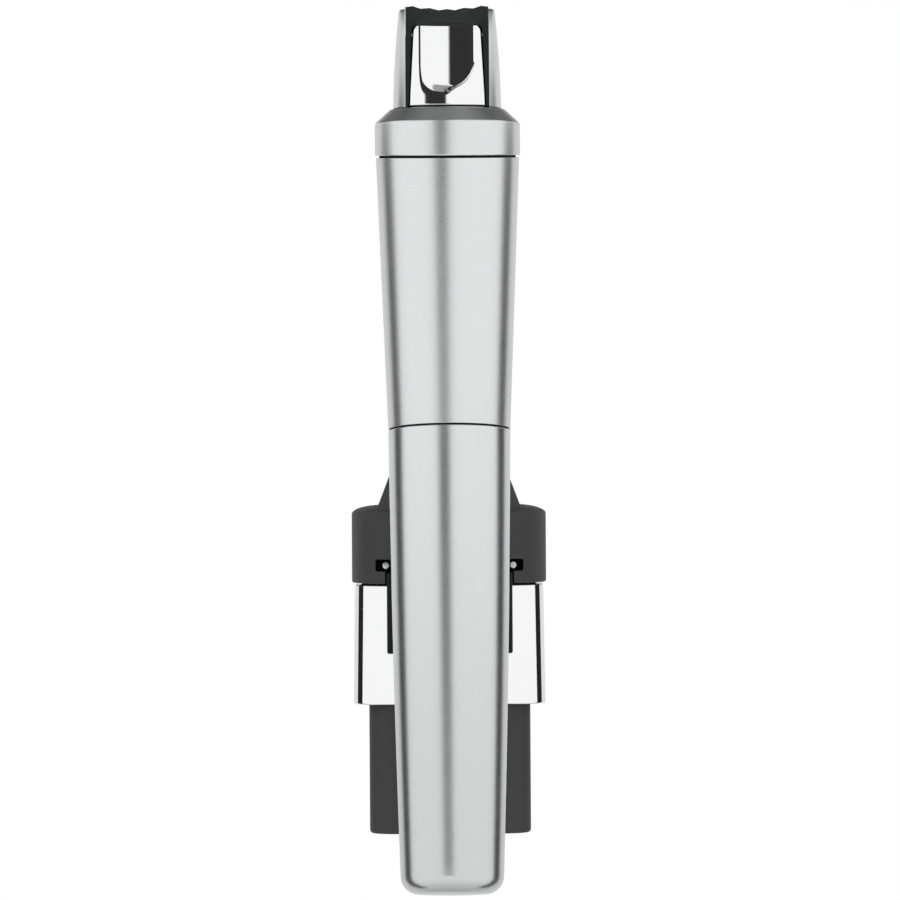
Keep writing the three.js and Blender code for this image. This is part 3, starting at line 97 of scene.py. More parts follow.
class Signal:
    """One socket of a shader, which Python's operators join into Math nodes."""

    def __init__(self, shader: "Shader", socket: bpy.types.NodeSocket) -> None:
        """Wraps a socket.

        Args:
            shader: the shader that the socket belongs to.
            socket: an output socket that carries one number.
        """
        self.shader = shader
        self.socket = socket

    def _join(self, operation: str, first: "Term", second: "Term") -> "Signal":
        """Adds one Math node.

        Args:
            operation: the node's operation.
            first: its first term.
            second: its second term.

        Returns:
            The node's result.
        """
        return self.shader.node("ShaderNodeMath", {"operation": operation}, {0: first, 1: second})

    def __add__(self, other: "Term") -> "Signal":
        """Gives the sum."""
        return self._join("ADD", self, other)

    def __radd__(self, other: "Term") -> "Signal":
        """Gives the sum with a number on the left."""
        return self._join("ADD", other, self)

    def __sub__(self, other: "Term") -> "Signal":
        """Gives the difference."""
        return self._join("SUBTRACT", self, other)

    def __rsub__(self, other: "Term") -> "Signal":
        """Gives the difference from a number on the left."""
        return self._join("SUBTRACT", other, self)

    def __mul__(self, other: "Term") -> "Signal":
        """Gives the product."""
        return self._join("MULTIPLY", self, other)

    def __rmul__(self, other: "Term") -> "Signal":
        """Gives the product with a number on the left."""
        return self._join("MULTIPLY", other, self)

    def step(self, low: float, high: float, start: float = 0.0, end: float = 1.0) -> "Signal":
        """Maps this value smoothly.

        Args:
            low: the value that gives start.
            high: the value that gives end.
            start: the result at and before low.
            end: the result at and beyond high.

        Returns:
            The mapped value.
        """
        return self.shader.node(
            "ShaderNodeMapRange",
            {"interpolation_type": "SMOOTHSTEP"},
            {"Value": self, "From Min": low, "From Max": high, "To Min": start, "To Max": end},
        )

    def within(self, low: float, high: float, soft: float) -> "Signal":
        """Gives 1 between two limits and 0 outside them.

        Args:
            low: the lower limit.
            high: the upper limit.
            soft: how wide each edge of the band is.

        Returns:
            The mask.
        """
        return self.step(low - soft, low + soft) * self.step(high - soft, high + soft, 1.0, 0.0)


Term = Union[Signal, float]


class Shader:
    """A node tree that is filled in through one method."""

    def __init__(self, tree: bpy.types.NodeTree) -> None:
        """Empties a tree.

        Args:
            tree: the node tree of a material or a world.
        """
        self.tree = tree
        tree.nodes.clear()

    def node(
        self,
        kind: str,
        settings: Optional[dict] = None,
        inputs: Optional[dict] = None,
        output: Union[int, str] = 0,
    ) -> Signal:
        """Adds a node.

        Args:
            kind: the node's type.
            settings: its properties, which are set first.
            inputs: values or signals for its sockets, by name or place.
            output: the name or place of the output that is returned.

        Returns:
            The chosen output, or the node's first input where it has no outputs.
        """
        made = self.tree.nodes.new(kind)
        for name, value in (settings or {}).items():
            setattr(made, name, value)
        for name, value in (inputs or {}).items():
            if isinstance(value, Signal):
                self.tree.links.new(value.socket, made.inputs[name])
            else:
                made.inputs[name].default_value = value
        return Signal(self, made.outputs[output] if len(made.outputs) else made.inputs[0])

    def place(self, stretch: Sequence[float] = (1.0, 1.0, 1.0)) -> Signal:
        """Gives the object's own coordinates.

        Args:
            stretch: a factor for each axis.

        Returns:
            The coordinates in metres, times the factors.
        """
        where = self.node("ShaderNodeTexCoord", output="Object")
        return self.node("ShaderNodeMapping", inputs={"Vector": where, "Scale": tuple(stretch)})

    def axis(self, name: str) -> Signal:
        """Gives one of the object's own coordinates, by the name X, Y or Z."""
        return self.node("ShaderNodeSeparateXYZ", inputs={"Vector": self.place()}, output=name)

    def noise(self, size: float, detail: float, stretch: Sequence[float] = (1.0, 1.0, 1.0)) -> Signal:
        """Gives smooth noise around one half.

        Args:
            size: how wide one cloud is, in millimetres.
            detail: how many finer layers are added.
            stretch: a factor for each axis.

        Returns:
            The noise.
        """
        return self.node("ShaderNodeTexNoise", inputs={
            "Vector": self.place(stretch),
            "Scale": 1 / (size * MM),
            "Detail": detail,
            "Roughness": 0.6,
        })

    def cells(self, size: float) -> Signal:
        """Gives one random number to each small cell.

        Args:
            size: how wide a cell is, in millimetres.

        Returns:
            The number, from 0 to 1.
        """
        colour = self.node(
            "ShaderNodeTexVoronoi", inputs={"Vector": self.place(), "Scale": 1 / (size * MM)}, output="Color"
        )
        return self.node("ShaderNodeSeparateColor", inputs={"Color": colour}, output="Red")

    def shade(self, colour: Colour, share: Term, least: float) -> Signal:
        """Gives a colour that varies in brightness.

        Args:
            colour: the colour where the variation is 1.
            share: the variation, from 0 to 1.
            least: the brightness where the variation is 0.

        Returns:
            The colour.
        """
        low = tuple(c * least for c in colour)
        return self.node(
            "ShaderNodeMix",
            {"data_type": "RGBA"},
            {"Factor": share, 6: (*low, 1.0), 7: (*colour, 1.0)},
            output=2,
        )

    def bump(self, height: Signal, depth: float, strength: float) -> Signal:
        """Gives the normal of a bumpy surface.

        Args:
            height: the height, from 0 to 1.
            depth: how deep the bumps are, in millimetres.
            strength: how much of the effect is kept.

        Returns:
            The normal.
        """
        return self.node(
            "ShaderNodeBump", inputs={"Height": height, "Distance": depth * MM, "Strength": strength}
        )

    def finish(self, **sockets: Term) -> None:
        """Adds the surface shader and the output.

        Args:
            **sockets: values or signals for its sockets, with an underscore for each space in a name.
        """
        named = {name.replace("_", " "): value for name, value in sockets.items()}
        surface = self.node("ShaderNodeBsdfPrincipled", inputs=named)
        self.node("ShaderNodeOutputMaterial", inputs={"Surface": surface})


def new_material(name: str) -> tuple[bpy.types.Material, Shader]:
    """Makes an empty material.

    Args:
        name: its name.

    Returns:
        The material and its shader.
    """
    material = bpy.data.materials.new(name)
    material.use_nodes = True
    return material, Shader(material.node_tree)


# Finishes


@dataclass(frozen=True)
class SatinSilver:
    """Satin silver lacquer with a fine metallic flake, with painted shade that darkens it towards the
    handle's foot and painted light that brightens it a little at the top.
    """

    colour: Colour = (0.775, 0.78, 0.785)
    roughness: float = 0.22
    flake: float = 0.28
    # seam adds a painted highlight: a thin light line along X = 0
    seam: bool = False
    seam_half: float = 0.11
    seam_soft: float = 0.06
    # heights where the painted shade and light by height start and end, and how far they darken and lighten
    # the colour
    foot_height: float = -90.0
    foot_level: float = 0.86
    top_height: float = 65.0
    top_level: float = 1.02
    name: str = "satin_silver"

    def material(self) -> bpy.types.Material:
        """Gives the material."""
        material, s = new_material(self.name)
        grain = s.cells(self.flake)
        cloud = s.noise(9.0, 3.0)
        tone = 0.62 * grain + 0.38 * cloud
        if self.seam:
            # painted highlight: the colour is lightened along a thin line at X = 0, where the seam's ridge
            # would catch the light
            half = self.seam_half * MM
            tone = tone + 1.4 * s.axis("X").within(-half, half, self.seam_soft * MM)
        # painted shade and light: the colour darkens towards the handle's foot and brightens a little at the
        # top, by height alone
        low, high = self.foot_height * MM, self.top_height * MM
        painted_shade_by_height = s.axis("Z").step(low, high, self.foot_level, self.top_level)
        s.finish(
            Base_Color=s.shade(self.colour, (0.92 + 0.08 * tone) * painted_shade_by_height, 0.0),
            Metallic=1.0,
            Roughness=self.roughness + 0.03 * cloud + 0.03 * grain,
            Normal=s.bump(s.noise(0.35, 2.0), 0.012, 0.5),
        )
        return material


@dataclass(frozen=True)
class Chrome:
    """Mirror chrome plate with a faint haze from handling."""

    colour: Colour = (0.93, 0.93, 0.935)
    roughness: float = 0.03

    def material(self) -> bpy.types.Material:
        """Gives the material."""
        material, s = new_material("chrome_plate")
        haze = s.noise(6.0, 3.0)
        s.finish(
            Base_Color=s.shade(self.colour, haze, 0.97),
            Metallic=1.0,
            Roughness=self.roughness + 0.03 * haze,
            Normal=s.bump(s.noise(4.0, 1.0), 0.01, 0.15),
        )
        return material


@dataclass(frozen=True)
class DrawnSteel:
    """Bright drawn steel with fine lines along one axis."""

    name: str = "drawn_steel"
    colour: Colour = (0.60, 0.61, 0.62)
    roughness: float = 0.22
    along: Sequence[float] = (1.0, 1.0, 0.04)

    def material(self) -> bpy.types.Material:
        """Gives the material."""
        material, s = new_material(self.name)
        lines = s.noise(0.25, 2.0, self.along)
        s.finish(
            Base_Color=s.shade(self.colour, lines, 0.82),
            Metallic=1.0,
            Roughness=self.roughness + 0.12 * lines,
            Normal=s.bump(lines, 0.01, 0.3),
        )
        return material


@dataclass(frozen=True)
class DarkCasting:
    """Dark grey moulding with a fine satin grain."""

    colour: Colour = (0.028, 0.028, 0.0285)
    roughness: float = 0.5

    def material(self) -> bpy.types.Material:
        """Gives the material."""
        material, s = new_material("dark_casting")
        grain = s.noise(0.22, 2.0)
        cloud = s.noise(14.0, 3.0)
        s.finish(
            Base_Color=s.shade(self.colour, 0.5 * grain + 0.5 * cloud, 0.8),
            Roughness=self.roughness + 0.12 * cloud,
            Specular_IOR_Level=0.3,
            Normal=s.bump(grain, 0.02, 0.45),
        )
        return material


@dataclass(frozen=True)
class BlackPlastic:
    """Black moulded plastic, slightly glossy."""

    colour: Colour = (0.005, 0.005, 0.0055)
    roughness: float = 0.36

    def material(self) -> bpy.types.Material:
        """Gives the material."""
        material, s = new_material("black_plastic")
        grain = s.noise(0.4, 3.0)
        s.finish(
            Base_Color=s.shade(self.colour, grain, 0.7),
            Roughness=self.roughness + 0.15 * grain,
            Specular_IOR_Level=0.22,
            Normal=s.bump(grain, 0.015, 0.3),
        )
        return material


@dataclass(frozen=True)
class SoftRubber:
    """Soft matt black rubber with a fine bloom."""

    colour: Colour = (0.0125, 0.0138, 0.0136)
    roughness: float = 0.62

    def material(self) -> bpy.types.Material:
        """Gives the material."""
        material, s = new_material("soft_rubber")
        bloom = s.noise(3.0, 4.0)
        s.finish(
            Base_Color=s.shade(self.colour, bloom, 0.72),
            Roughness=self.roughness + 0.2 * bloom,
            Specular_IOR_Level=0.1,
            Normal=s.bump(s.noise(0.3, 2.0), 0.02, 0.4),
        )
        return material


@dataclass(frozen=True)
class Wardrobe:
    """The finish that each material slot gets. Each material is made once."""

    made: ClassVar[dict[str, bpy.types.Material]] = {}
    finishes: ClassVar[dict[str, object]] = {
        Slot.SILVER.value: SatinSilver(roughness=0.26),
        Slot.CHROME.value: Chrome(),
        Slot.STEEL.value: DrawnSteel(),
        Slot.RAIL.value: DrawnSteel("anodised_rail", (0.50, 0.505, 0.51), 0.3),
        Slot.BRASS.value: DrawnSteel("turned_brass", (0.62, 0.50, 0.26), 0.28, (1.0, 1.0, 1.0)),
        Slot.CASTING.value: DarkCasting(),
        Slot.BLACK.value: BlackPlastic(),
        Slot.RUBBER.value: SoftRubber(),
    }

    @classmethod
    def material(cls, key: str) -> bpy.types.Material:
        """Gives the material of a slot.

        Args:
            key: the slot's name.

        Returns:
            The material.
        """
        if key not in cls.made:
            cls.made[key] = cls.finishes[key].material()
        return cls.made[key]


# Mesh making


def add_block(bm: bmesh.types.BMesh, low: Sequence[float], high: Sequence[float]) -> list[bmesh.types.BMVert]:
    """Adds a box.

    Args:
        bm: the mesh.
        low: its lowest corner, in millimetres.
        high: its highest corner, in millimetres.

    Returns:
        Its corners.
    """
    corners = bmesh.ops.create_cube(bm, size=MM)["verts"]
    size = [b - a for a, b in zip(low, high)]
    middle = Vector([(a + b) / 2 * MM for a, b in zip(low, high)])
    bmesh.ops.scale(bm, vec=size, verts=corners)
    bmesh.ops.translate(bm, vec=middle, verts=corners)
    return corners


def turned(profile: Sequence[Pair], steps: int = 96) -> bmesh.types.BMesh:
    """Turns a profile about the Z axis.

    Args:
        profile: radii and heights in millimetres. It ends where it starts, or it starts and ends on the axis.
        steps: how many facets go round.

    Returns:
        The closed mesh.
    """
    bm = bmesh.new()
    points = [bm.verts.new((r * MM, 0, z * MM)) for r, z in profile]
    edges = [bm.edges.new(pair) for pair in zip(points, points[1:])]
    bmesh.ops.spin(
        bm, geom=points + edges, cent=(0, 0, 0), axis=(0, 0, 1), angle=2 * math.pi, steps=steps,
        use_merge=True,
    )
    return cleaned(bm)


def cleaned(bm: bmesh.types.BMesh, distance: float = 1e-7) -> bmesh.types.BMesh:
    """Merges doubles and turns the faces outwards.

    Args:
        bm: the mesh.
        distance: how near two points have to be, in metres.

    Returns:
        The same mesh.
    """
    bmesh.ops.remove_doubles(bm, verts=bm.verts, dist=distance)
    bmesh.ops.recalc_face_normals(bm, faces=bm.faces)
    return bm


def soften(
    bm: bmesh.types.BMesh,
    width: float,
    angle: float = 30.0,
    segments: int = 3,
    only: Optional[Callable[[bmesh.types.BMEdge], bool]] = None,
) -> bmesh.types.BMesh:
    """Rounds the sharp edges.

    Args:
        bm: the mesh.
        width: how far the rounding reaches, in millimetres.
        angle: edges whose faces turn by more than this, in degrees, are sharp.
        segments: how many steps the rounding has.
        only: a test that an edge also has to pass.

    Returns:
        The same mesh.
    """
    limit = math.radians(angle)
    sharp = [
        e for e in bm.edges
        if len(e.link_faces) == 2 and e.calc_face_angle(0.0) > limit and (only is None or only(e))
    ]
    if sharp:
        bmesh.ops.bevel(
            bm, geom=sharp, offset=width * MM, offset_type="OFFSET", segments=segments, profile=0.5,
            affect="EDGES", clamp_overlap=True, material=-1,
        )
    return bm


def halved(
    bm: bmesh.types.BMesh, point: Sequence[float], normal: Sequence[float]
) -> list[bmesh.types.BMEdge]:
    """Cuts away the side of a plane that its normal points to.

    Args:
        bm: the mesh.
        point: a point of the plane, in millimetres.
        normal: the plane's normal.

    Returns:
        The edges of the open cut.
    """
    bmesh.ops.bisect_plane(
        bm, geom=bm.verts[:] + bm.edges[:] + bm.faces[:], dist=1e-7, plane_co=Vector(point) * MM,
        plane_no=normal, clear_outer=True,
    )
    return [e for e in bm.edges if e.is_boundary]


def to_mesh(bm: bmesh.types.BMesh, name: str) -> bpy.types.Mesh:
    """Makes a mesh from a bmesh and frees it.

    Args:
        bm: the bmesh.
        name: the mesh's name.

    Returns:
        The mesh.
    """
    mesh = bpy.data.meshes.new(name)
    bm.to_mesh(mesh)
    bm.free()
    return mesh


def carved(
    bm: bmesh.types.BMesh, tools: Iterable[bmesh.types.BMesh], operation: str = "DIFFERENCE"
) -> bmesh.types.BMesh:
    """Cuts tools out of a mesh, or joins them to it.

    Args:
        bm: the mesh.
        tools: closed meshes.
        operation: the Boolean modifier's operation.

    Returns:
        A new mesh with the result.
    """
    target = bpy.data.objects.new("carved", to_mesh(bm, "carved"))
    bpy.context.scene.collection.objects.link(target)
    helpers = []
    for tool in tools:
        helper = bpy.data.objects.new("tool", to_mesh(tool, "tool"))
        bpy.context.scene.collection.objects.link(helper)
        modifier = target.modifiers.new("cut", "BOOLEAN")
        modifier.solver = "EXACT"
        modifier.operation = operation
        modifier.object = helper
        helpers.append(helper)
    bpy.context.view_layer.update()
    evaluated = target.evaluated_get(bpy.context.evaluated_depsgraph_get())
    result = bmesh.new()
    result.from_mesh(evaluated.to_mesh())
    evaluated.to_mesh_clear()
    for thing in [target, *helpers]:
        bpy.data.objects.remove(thing)
    return result


def lofted(sections: Sequence[Sequence[Sequence[float]]]) -> bmesh.types.BMesh:
    """Extrudes an outline through further outlines with as many points.

    Args:
        sections: outlines of points in millimetres, from one end to the other.

    Returns:
        The closed mesh.
    """
    bm = bmesh.new()
    face = bm.faces.new([bm.verts.new(Vector(point) * MM) for point in sections[0]])
    for points in sections[1:]:
        grown = bmesh.ops.extrude_face_region(bm, geom=[face, *face.edges])["geom"]
        face = next(part for part in grown if isinstance(part, bmesh.types.BMFace))
        for vertex, point in zip(face.verts, points):
            vertex.co = Vector(point) * MM
    return cleaned(bm)


def prism(outline: Sequence[Pair], along: str, low: float, high: float) -> bmesh.types.BMesh:
    """Extrudes an outline along an axis.

    Args:
        outline: points on the other two axes, in alphabetical order, in millimetres.
        along: the axis, X, Y or Z.
        low: where the prism starts.
        high: where it ends.

    Returns:
        The closed mesh.
    """
    at = "XYZ".index(along)
    return lofted([[[*p[:at], level, *p[at:]] for p in outline] for level in (low, high)])


def post(half_width: float, half_depth: float, corner: float, low: float, high: float) -> bmesh.types.BMesh:
    """Makes an upright post with round corners.

    Args:
        half_width: half its width, in millimetres.
        half_depth: half its depth.
        corner: the radius of its corners.
        low: its lower end.
        high: its upper end.

    Returns:
        The closed mesh.
    """
    bm = bmesh.new()
    add_block(bm, (-half_width, -half_depth, low), (half_width, half_depth, high))
    upright = [e for e in bm.edges if abs(e.verts[0].co.z - e.verts[1].co.z) > MM / 10]
    bmesh.ops.bevel(
        bm, geom=upright, offset=corner * MM, offset_type="OFFSET", segments=20, profile=0.5, affect="EDGES",
        clamp_overlap=True, material=-1,
    )
    return bm


def block(low: Sequence[float], high: Sequence[float], edge: float = 0.0) -> bmesh.types.BMesh:
    """Makes a box.

    Args:
        low: its lowest corner, in millimetres.
        high: its highest corner.
        edge: how far its edges are rounded, or 0 where they stay sharp.

    Returns:
        The closed mesh.
    """
    bm = bmesh.new()
    add_block(bm, low, high)
    return soften(bm, edge, 30, 4) if edge else bm


def rod(
    radius: float, along: str, low: float, high: float, at: Pair = (0, 0), edge: float = 0.0, steps: int = 48
) -> bmesh.types.BMesh:
    """Makes a round bar along an axis.

    Args:
        radius: its radius, in millimetres.
        along: the axis, X, Y or Z.
        low: where it starts.
        high: where it ends.
        at: its place on the other two axes, in alphabetical order.
        edge: how far its ends are rounded.
        steps: how many facets go round.

    Returns:
        The closed mesh.
    """
    bm = turned([(0, low), (radius, low), (radius, high), (0, high)], steps)
    if edge:
        soften(bm, edge, 50, 4)
    turns = {"X": (90, "Y"), "Y": (-90, "X"), "Z": (0, "X")}
    place = list(at)
    place.insert("XYZ".index(along), 0)
    return moved(bm, place, *turns[along])


def hexagon(radius: float, low: float, high: float) -> bmesh.types.BMesh:
    """Makes an upright bar with six sides.

    Args:
        radius: the radius through its corners, in millimetres.
        low: its lower end.
        high: its upper end.

    Returns:
        The closed mesh.
    """
    bm = bmesh.new()
    bmesh.ops.create_cone(
        bm, cap_ends=True, segments=6, radius1=radius * MM, radius2=radius * MM, depth=(high - low) * MM
    )
    bmesh.ops.translate(bm, vec=(0, 0, (low + high) / 2 * MM), verts=bm.verts)
    return bm


def tube_along(points: Sequence[Sequence[float]], radius: float, bore: float = 0.0) -> bmesh.types.BMesh:
    """Makes a round tube along a smooth path.

    Args:
        points: the path, in millimetres.
        radius: the tube's outer radius.
        bore: its inner radius, or 0 where it is solid.

    Returns:
        The closed mesh.
    """
    curve = bpy.data.curves.new("path", "CURVE")
    curve.dimensions = "3D"
    curve.bevel_depth = radius * MM
    curve.bevel_resolution = 6
    curve.use_fill_caps = not bore
    line = curve.splines.new("POLY")
    line.points.add(len(points) - 1)
    for knot, point in zip(line.points, points):
        knot.co = (*(Vector(point) * MM), 1)
    helper = bpy.data.objects.new("path", curve)
    bm = bmesh.new()
    bm.from_mesh(helper.to_mesh())
    helper.to_mesh_clear()
    bpy.data.objects.remove(helper)
    cleaned(bm)
    if bore:
        bmesh.ops.solidify(bm, geom=bm.faces[:], thickness=(radius - bore) * MM)
        bmesh.ops.recalc_face_normals(bm, faces=bm.faces)
    return bm


def coil(radius: float, wire: float, turns: float, low: float, high: float) -> bmesh.types.BMesh:
    """Makes an upright spring.

    Args:
        radius: the radius of the wire's middle line, in millimetres.
        wire: the wire's radius.
        turns: how many turns it has.
        low: the height of its lower end.
        high: the height of its upper end.

    Returns:
        The closed mesh.
    """
    count = int(turns * 24)
    points = []
    for i in range(count + 1):
        share = i / count
        angle = 2 * math.pi * turns * share
        points.append((radius * math.cos(angle), radius * math.sin(angle), low + (high - low) * share))
    return tube_along(points, wire)


def moved(
    bm: bmesh.types.BMesh, offset: Sequence[float] = (0, 0, 0), angle: float = 0.0, axis: str = "X"
) -> bmesh.types.BMesh:
    """Turns a mesh about an axis through the origin, then moves it.

    Args:
        bm: the mesh.
        offset: how far it moves, in millimetres.
        angle: how far it turns, in degrees.
        axis: the axis that it turns about.

    Returns:
        The same mesh.
    """
    bmesh.ops.rotate(bm, cent=(0, 0, 0), matrix=Matrix.Rotation(math.radians(angle), 3, axis), verts=bm.verts)
    bmesh.ops.translate(bm, vec=Vector(offset) * MM, verts=bm.verts)
    return bm


def sheet_of(columns: int, rows: int, point: Callable[[float, float], Vector]) -> bmesh.types.BMesh:
    """Makes a sheet from a formula.

    Args:
        columns: how many columns of faces it has.
        rows: how many rows of faces it has.
        point: gives a place in millimetres for two numbers from 0 to 1.

    Returns:
        The open sheet.
    """
    bm = bmesh.new()
    bmesh.ops.create_grid(bm, x_segments=columns, y_segments=rows, size=0.5)
    for vertex in bm.verts:
        vertex.co = point(vertex.co.x + 0.5, vertex.co.y + 0.5) * MM
    return bm


def backed(bm: bmesh.types.BMesh, back: Callable[[Vector], Vector]) -> bmesh.types.BMesh:
    """Closes a sheet by a wall round its rim and a flat back.

    Args:
        bm: the open sheet.
        back: gives the place on the back for a place on the rim, in metres.

    Returns:
        The closed mesh.
    """
    rim = [e for e in bm.edges if e.is_boundary]
    wall = bmesh.ops.extrude_edge_only(bm, edges=rim)["geom"]
    for vertex in [g for g in wall if isinstance(g, bmesh.types.BMVert)]:
        vertex.co = back(vertex.co)
    cleaned(bm)
    bmesh.ops.holes_fill(bm, edges=[e for e in bm.edges if e.is_boundary], sides=0)
    bmesh.ops.recalc_face_normals(bm, faces=bm.faces)
    return bm


def doubled(bm: bmesh.types.BMesh, inside: Callable[[Vector], Vector]) -> bmesh.types.BMesh:
    """Makes a shell of an open skin.

    Args:
        bm: the skin.
        inside: gives the place on the inner side for a place on the skin, in metres.

    Returns:
        The closed shell.
    """
    geometry = bm.verts[:] + bm.edges[:] + bm.faces[:]
    copy = bmesh.ops.duplicate(bm, geom=geometry)["geom"]
    for vertex in [g for g in copy if isinstance(g, bmesh.types.BMVert)]:
        vertex.co = inside(vertex.co)
    bmesh.ops.reverse_faces(bm, faces=[g for g in copy if isinstance(g, bmesh.types.BMFace)])
    bmesh.ops.bridge_loops(bm, edges=[e for e in bm.edges if e.is_boundary])
    bmesh.ops.recalc_face_normals(bm, faces=bm.faces)
    return bm


def shown(
    bm: bmesh.types.BMesh,
    name: str,
    body: Body,
    slot: Slot,
    stands_for: Sequence[str] = (),
    angle: float = 35.0,
    material: Optional[bpy.types.Material] = None,
) -> bpy.types.Object:
    """Makes a finished piece.

    Args:
        bm: its mesh, in place.
        name: its name.
        body: the body that it rides on.
        slot: the material slot that it takes its finish from.
        stands_for: the CAD nodes that it replaces.
        angle: edges that turn by more than this, in degrees, stay sharp in the shading.
        material: a material of its own, or None for the slot's.

    Returns:
        The piece.
    """
    limit = math.radians(angle)
    for face in bm.faces:
        face.smooth = True
    for edge in bm.edges:
        edge.smooth = len(edge.link_faces) == 2 and edge.calc_face_angle(0.0) < limit
    piece = bpy.data.objects.new(name, to_mesh(bm, name))
    bpy.context.scene.collection.objects.link(piece)
    piece.data.materials.append(material or Wardrobe.material(slot.value))
    shading = piece.modifiers.new("shading", "WEIGHTED_NORMAL")
    shading.keep_sharp = True
    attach(piece, body.value)
    if stands_for:
        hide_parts(*stands_for)
    LOG.info("made %s with %d faces", name, len(piece.data.polygons))
    return piece


def mirrored(bm: bmesh.types.BMesh) -> bmesh.types.BMesh:
    """Mirrors a mesh in the plane X = 0 and keeps its faces outwards.

    Args:
        bm: the mesh.

    Returns:
        The same mesh.
    """
    bmesh.ops.scale(bm, vec=(-1, 1, 1), verts=bm.verts)
    bmesh.ops.reverse_faces(bm, faces=bm.faces)
    return bm


# Handle


@dataclass
class Handle:
    """The collar, the sleeve with its keel, the capsule cup and what is inside them."""

    offset: float = 52.0
    tilt: float = 6.0
    seam_height: float = 105.4
    seam_slope: float = 3.0
    groove: float = 0.6
    collar_radius: float = 19.35
    collar_shoulder: float = 114.2
    collar_top: float = 117.9
    collar_top_radius: float = 15.25
    collar_lean: float = 0.8
    collar_bore: float = 10.3
    sleeve_radius: float = 19.1
    sleeve_length: float = 73.1
    mouth_radius: float = 16.2
    bore_radius: float = 14.4
    base_radius: float = 13.5
    cup_end: float = -195.8
    spigot_end: float = -100.9
    cup_floor: float = 3.0
    cup_bore: float = 11.5
    belly: float = 0.35
    base_edge: float = 4.2
    dome: float = 0.7
    cup_seam: float = 0.4
    # outer radius of the black ring that fills the collar's groove as painted shade
    seam_shade_ring_radius: float = 18.2
    thread_turns: int = 6
    thread_start: float = 3.0
    thread_pitch: float = 4.0
    thread_depth: float = 0.45
    spigot_radius: float = 13.3
    body_radius: float = 14.1
    chamber_radius: float = 9.5
    chamber_top: float = -9.0
    chamber_floor: float = -49.0
    seat_radius: float = 1.9
    seat_depth: float = 7.0
    way_radius: float = 0.9
    way_top: float = -54.0
    keel_low: Place = (-5.0, -44.7, 35.3)
    keel_high: Place = (5.0, -32.05, 102.4)
    keel_lean: float = 9.0
    capsule_base: float = -192.5
    capsule_top: float = -104.5
    capsule_radius: float = 11.0
    capsule_neck: float = 4.3
    capsule_hole: float = 2.4
    capsule_shoulder: float = 21.0
    capsule_neck_length: float = 9.0
    pin_profile: Profile = ((0.6, -104.2), (1.6, -101.0), (1.6, -94.2), (0.6, -94.2), (0.6, -104.2))
    seal_profile: Profile = ((1.9, -104.2), (4.5, -104.2), (4.5, -101.2), (1.9, -101.2), (1.9, -104.2))
    piston_profile: Profile = (
        (0, -53.4), (1.2, -53.4), (1.6, -53.0), (1.6, -48.7), (9.2, -48.7), (9.2, -46.6), (8.3, -46.6),
        (8.3, -44.8), (9.2, -44.8), (9.2, -42.7), (0, -42.7),
    )
    ring_profile: Profile = ((8.35, -46.5), (9.15, -46.5), (9.15, -44.9), (8.35, -44.9), (8.35, -46.5))
    cap_profile: Profile = ((1.7, -15), (9.2, -15), (9.2, -9), (1.7, -9), (1.7, -15))

    def frame(self) -> Matrix:
        """Gives the handle's own frame, whose origin is the middle of the collar's seam."""
        place = Matrix.Translation(Vector((0, -self.offset, self.seam_height)) * MM)
        return place @ Matrix.Rotation(math.radians(-self.tilt), 4, "X")

    def placed(self, bm: bmesh.types.BMesh) -> bmesh.types.BMesh:
        """Moves a mesh from the handle's own frame into place."""
        bmesh.ops.transform(bm, matrix=self.frame(), verts=bm.verts)
        return bm

    def trimmed(self, bm: bmesh.types.BMesh, drop: float, upwards: bool) -> bmesh.types.BMesh:
        """Cuts a ring off at the sloping seam.

        Args:
            bm: the ring, in place.
            drop: how far the cut lies below the seam, in millimetres.
            upwards: whether the part above the cut is the one that goes.

        Returns:
            The same mesh, closed.
        """
        slope = math.radians(self.seam_slope)
        normal = Vector((0, -math.sin(slope), math.cos(slope)))
        point = (0, -self.offset, self.seam_height - drop)
        rim = halved(bm, point, normal if upwards else -normal)
        bmesh.ops.bridge_loops(bm, edges=rim)
        return cleaned(bm)

    def make_collar(self) -> None:
        """Makes the chamfered collar."""
        floor = self.seam_height - 4
        bm = turned([
            (self.collar_bore, floor),
            (self.collar_radius, floor),
            (self.collar_radius, self.collar_shoulder),
            (self.collar_top_radius, self.collar_top),
            (self.collar_bore, self.collar_top),
            (self.collar_bore, floor),
        ])
        bmesh.ops.translate(bm, vec=(0, -self.offset * MM, 0), verts=bm.verts)
        self.trimmed(bm, -self.groove / 2, False)
        for vertex in bm.verts:
            if abs(vertex.co.z / MM - self.collar_shoulder) < 0.01:
                vertex.co.y += self.collar_lean * MM
        soften(bm, 0.35, 20, 3)
        # the collar's silver carries a painted highlight along its seam
        seam_highlit_silver = SatinSilver(roughness=0.27, seam=True, name="satin_silver_collar").material()
        shown(bm, "collar_ring", Body.DISPENSER, Slot.SILVER, ["collar"], material=seam_highlit_silver)

    def make_seam_shade_rings(self) -> None:
        """Makes the black rings that fill the groove under the collar and the cup's seam as painted shade, so
        that the gaps show dark.
        """
        inner, outer = self.bore_radius + 0.2, self.seam_shade_ring_radius
        # painted shade: a black ring in the collar's groove makes the gap show dark
        bm = self.placed(turned([(inner, -4), (outer, -4), (outer, 4), (inner, 4), (inner, -4)]))
        self.trimmed(bm, -self.groove / 2, True)
        self.trimmed(bm, self.groove / 2, False)
        shown(bm, "collar_seam_shade_ring", Body.DISPENSER, Slot.RUBBER)
        # painted shade: a black ring in the cup's seam makes the gap show dark
        low, high = -self.sleeve_length - self.cup_seam, -self.sleeve_length
        inner, outer = self.bore_radius - 0.5, self.mouth_radius - 0.6
        bm = turned([(inner, low), (outer, low), (outer, high), (inner, high), (inner, low)])
        shown(self.placed(bm), "cup_seam_shade_ring", Body.DISPENSER, Slot.RUBBER)

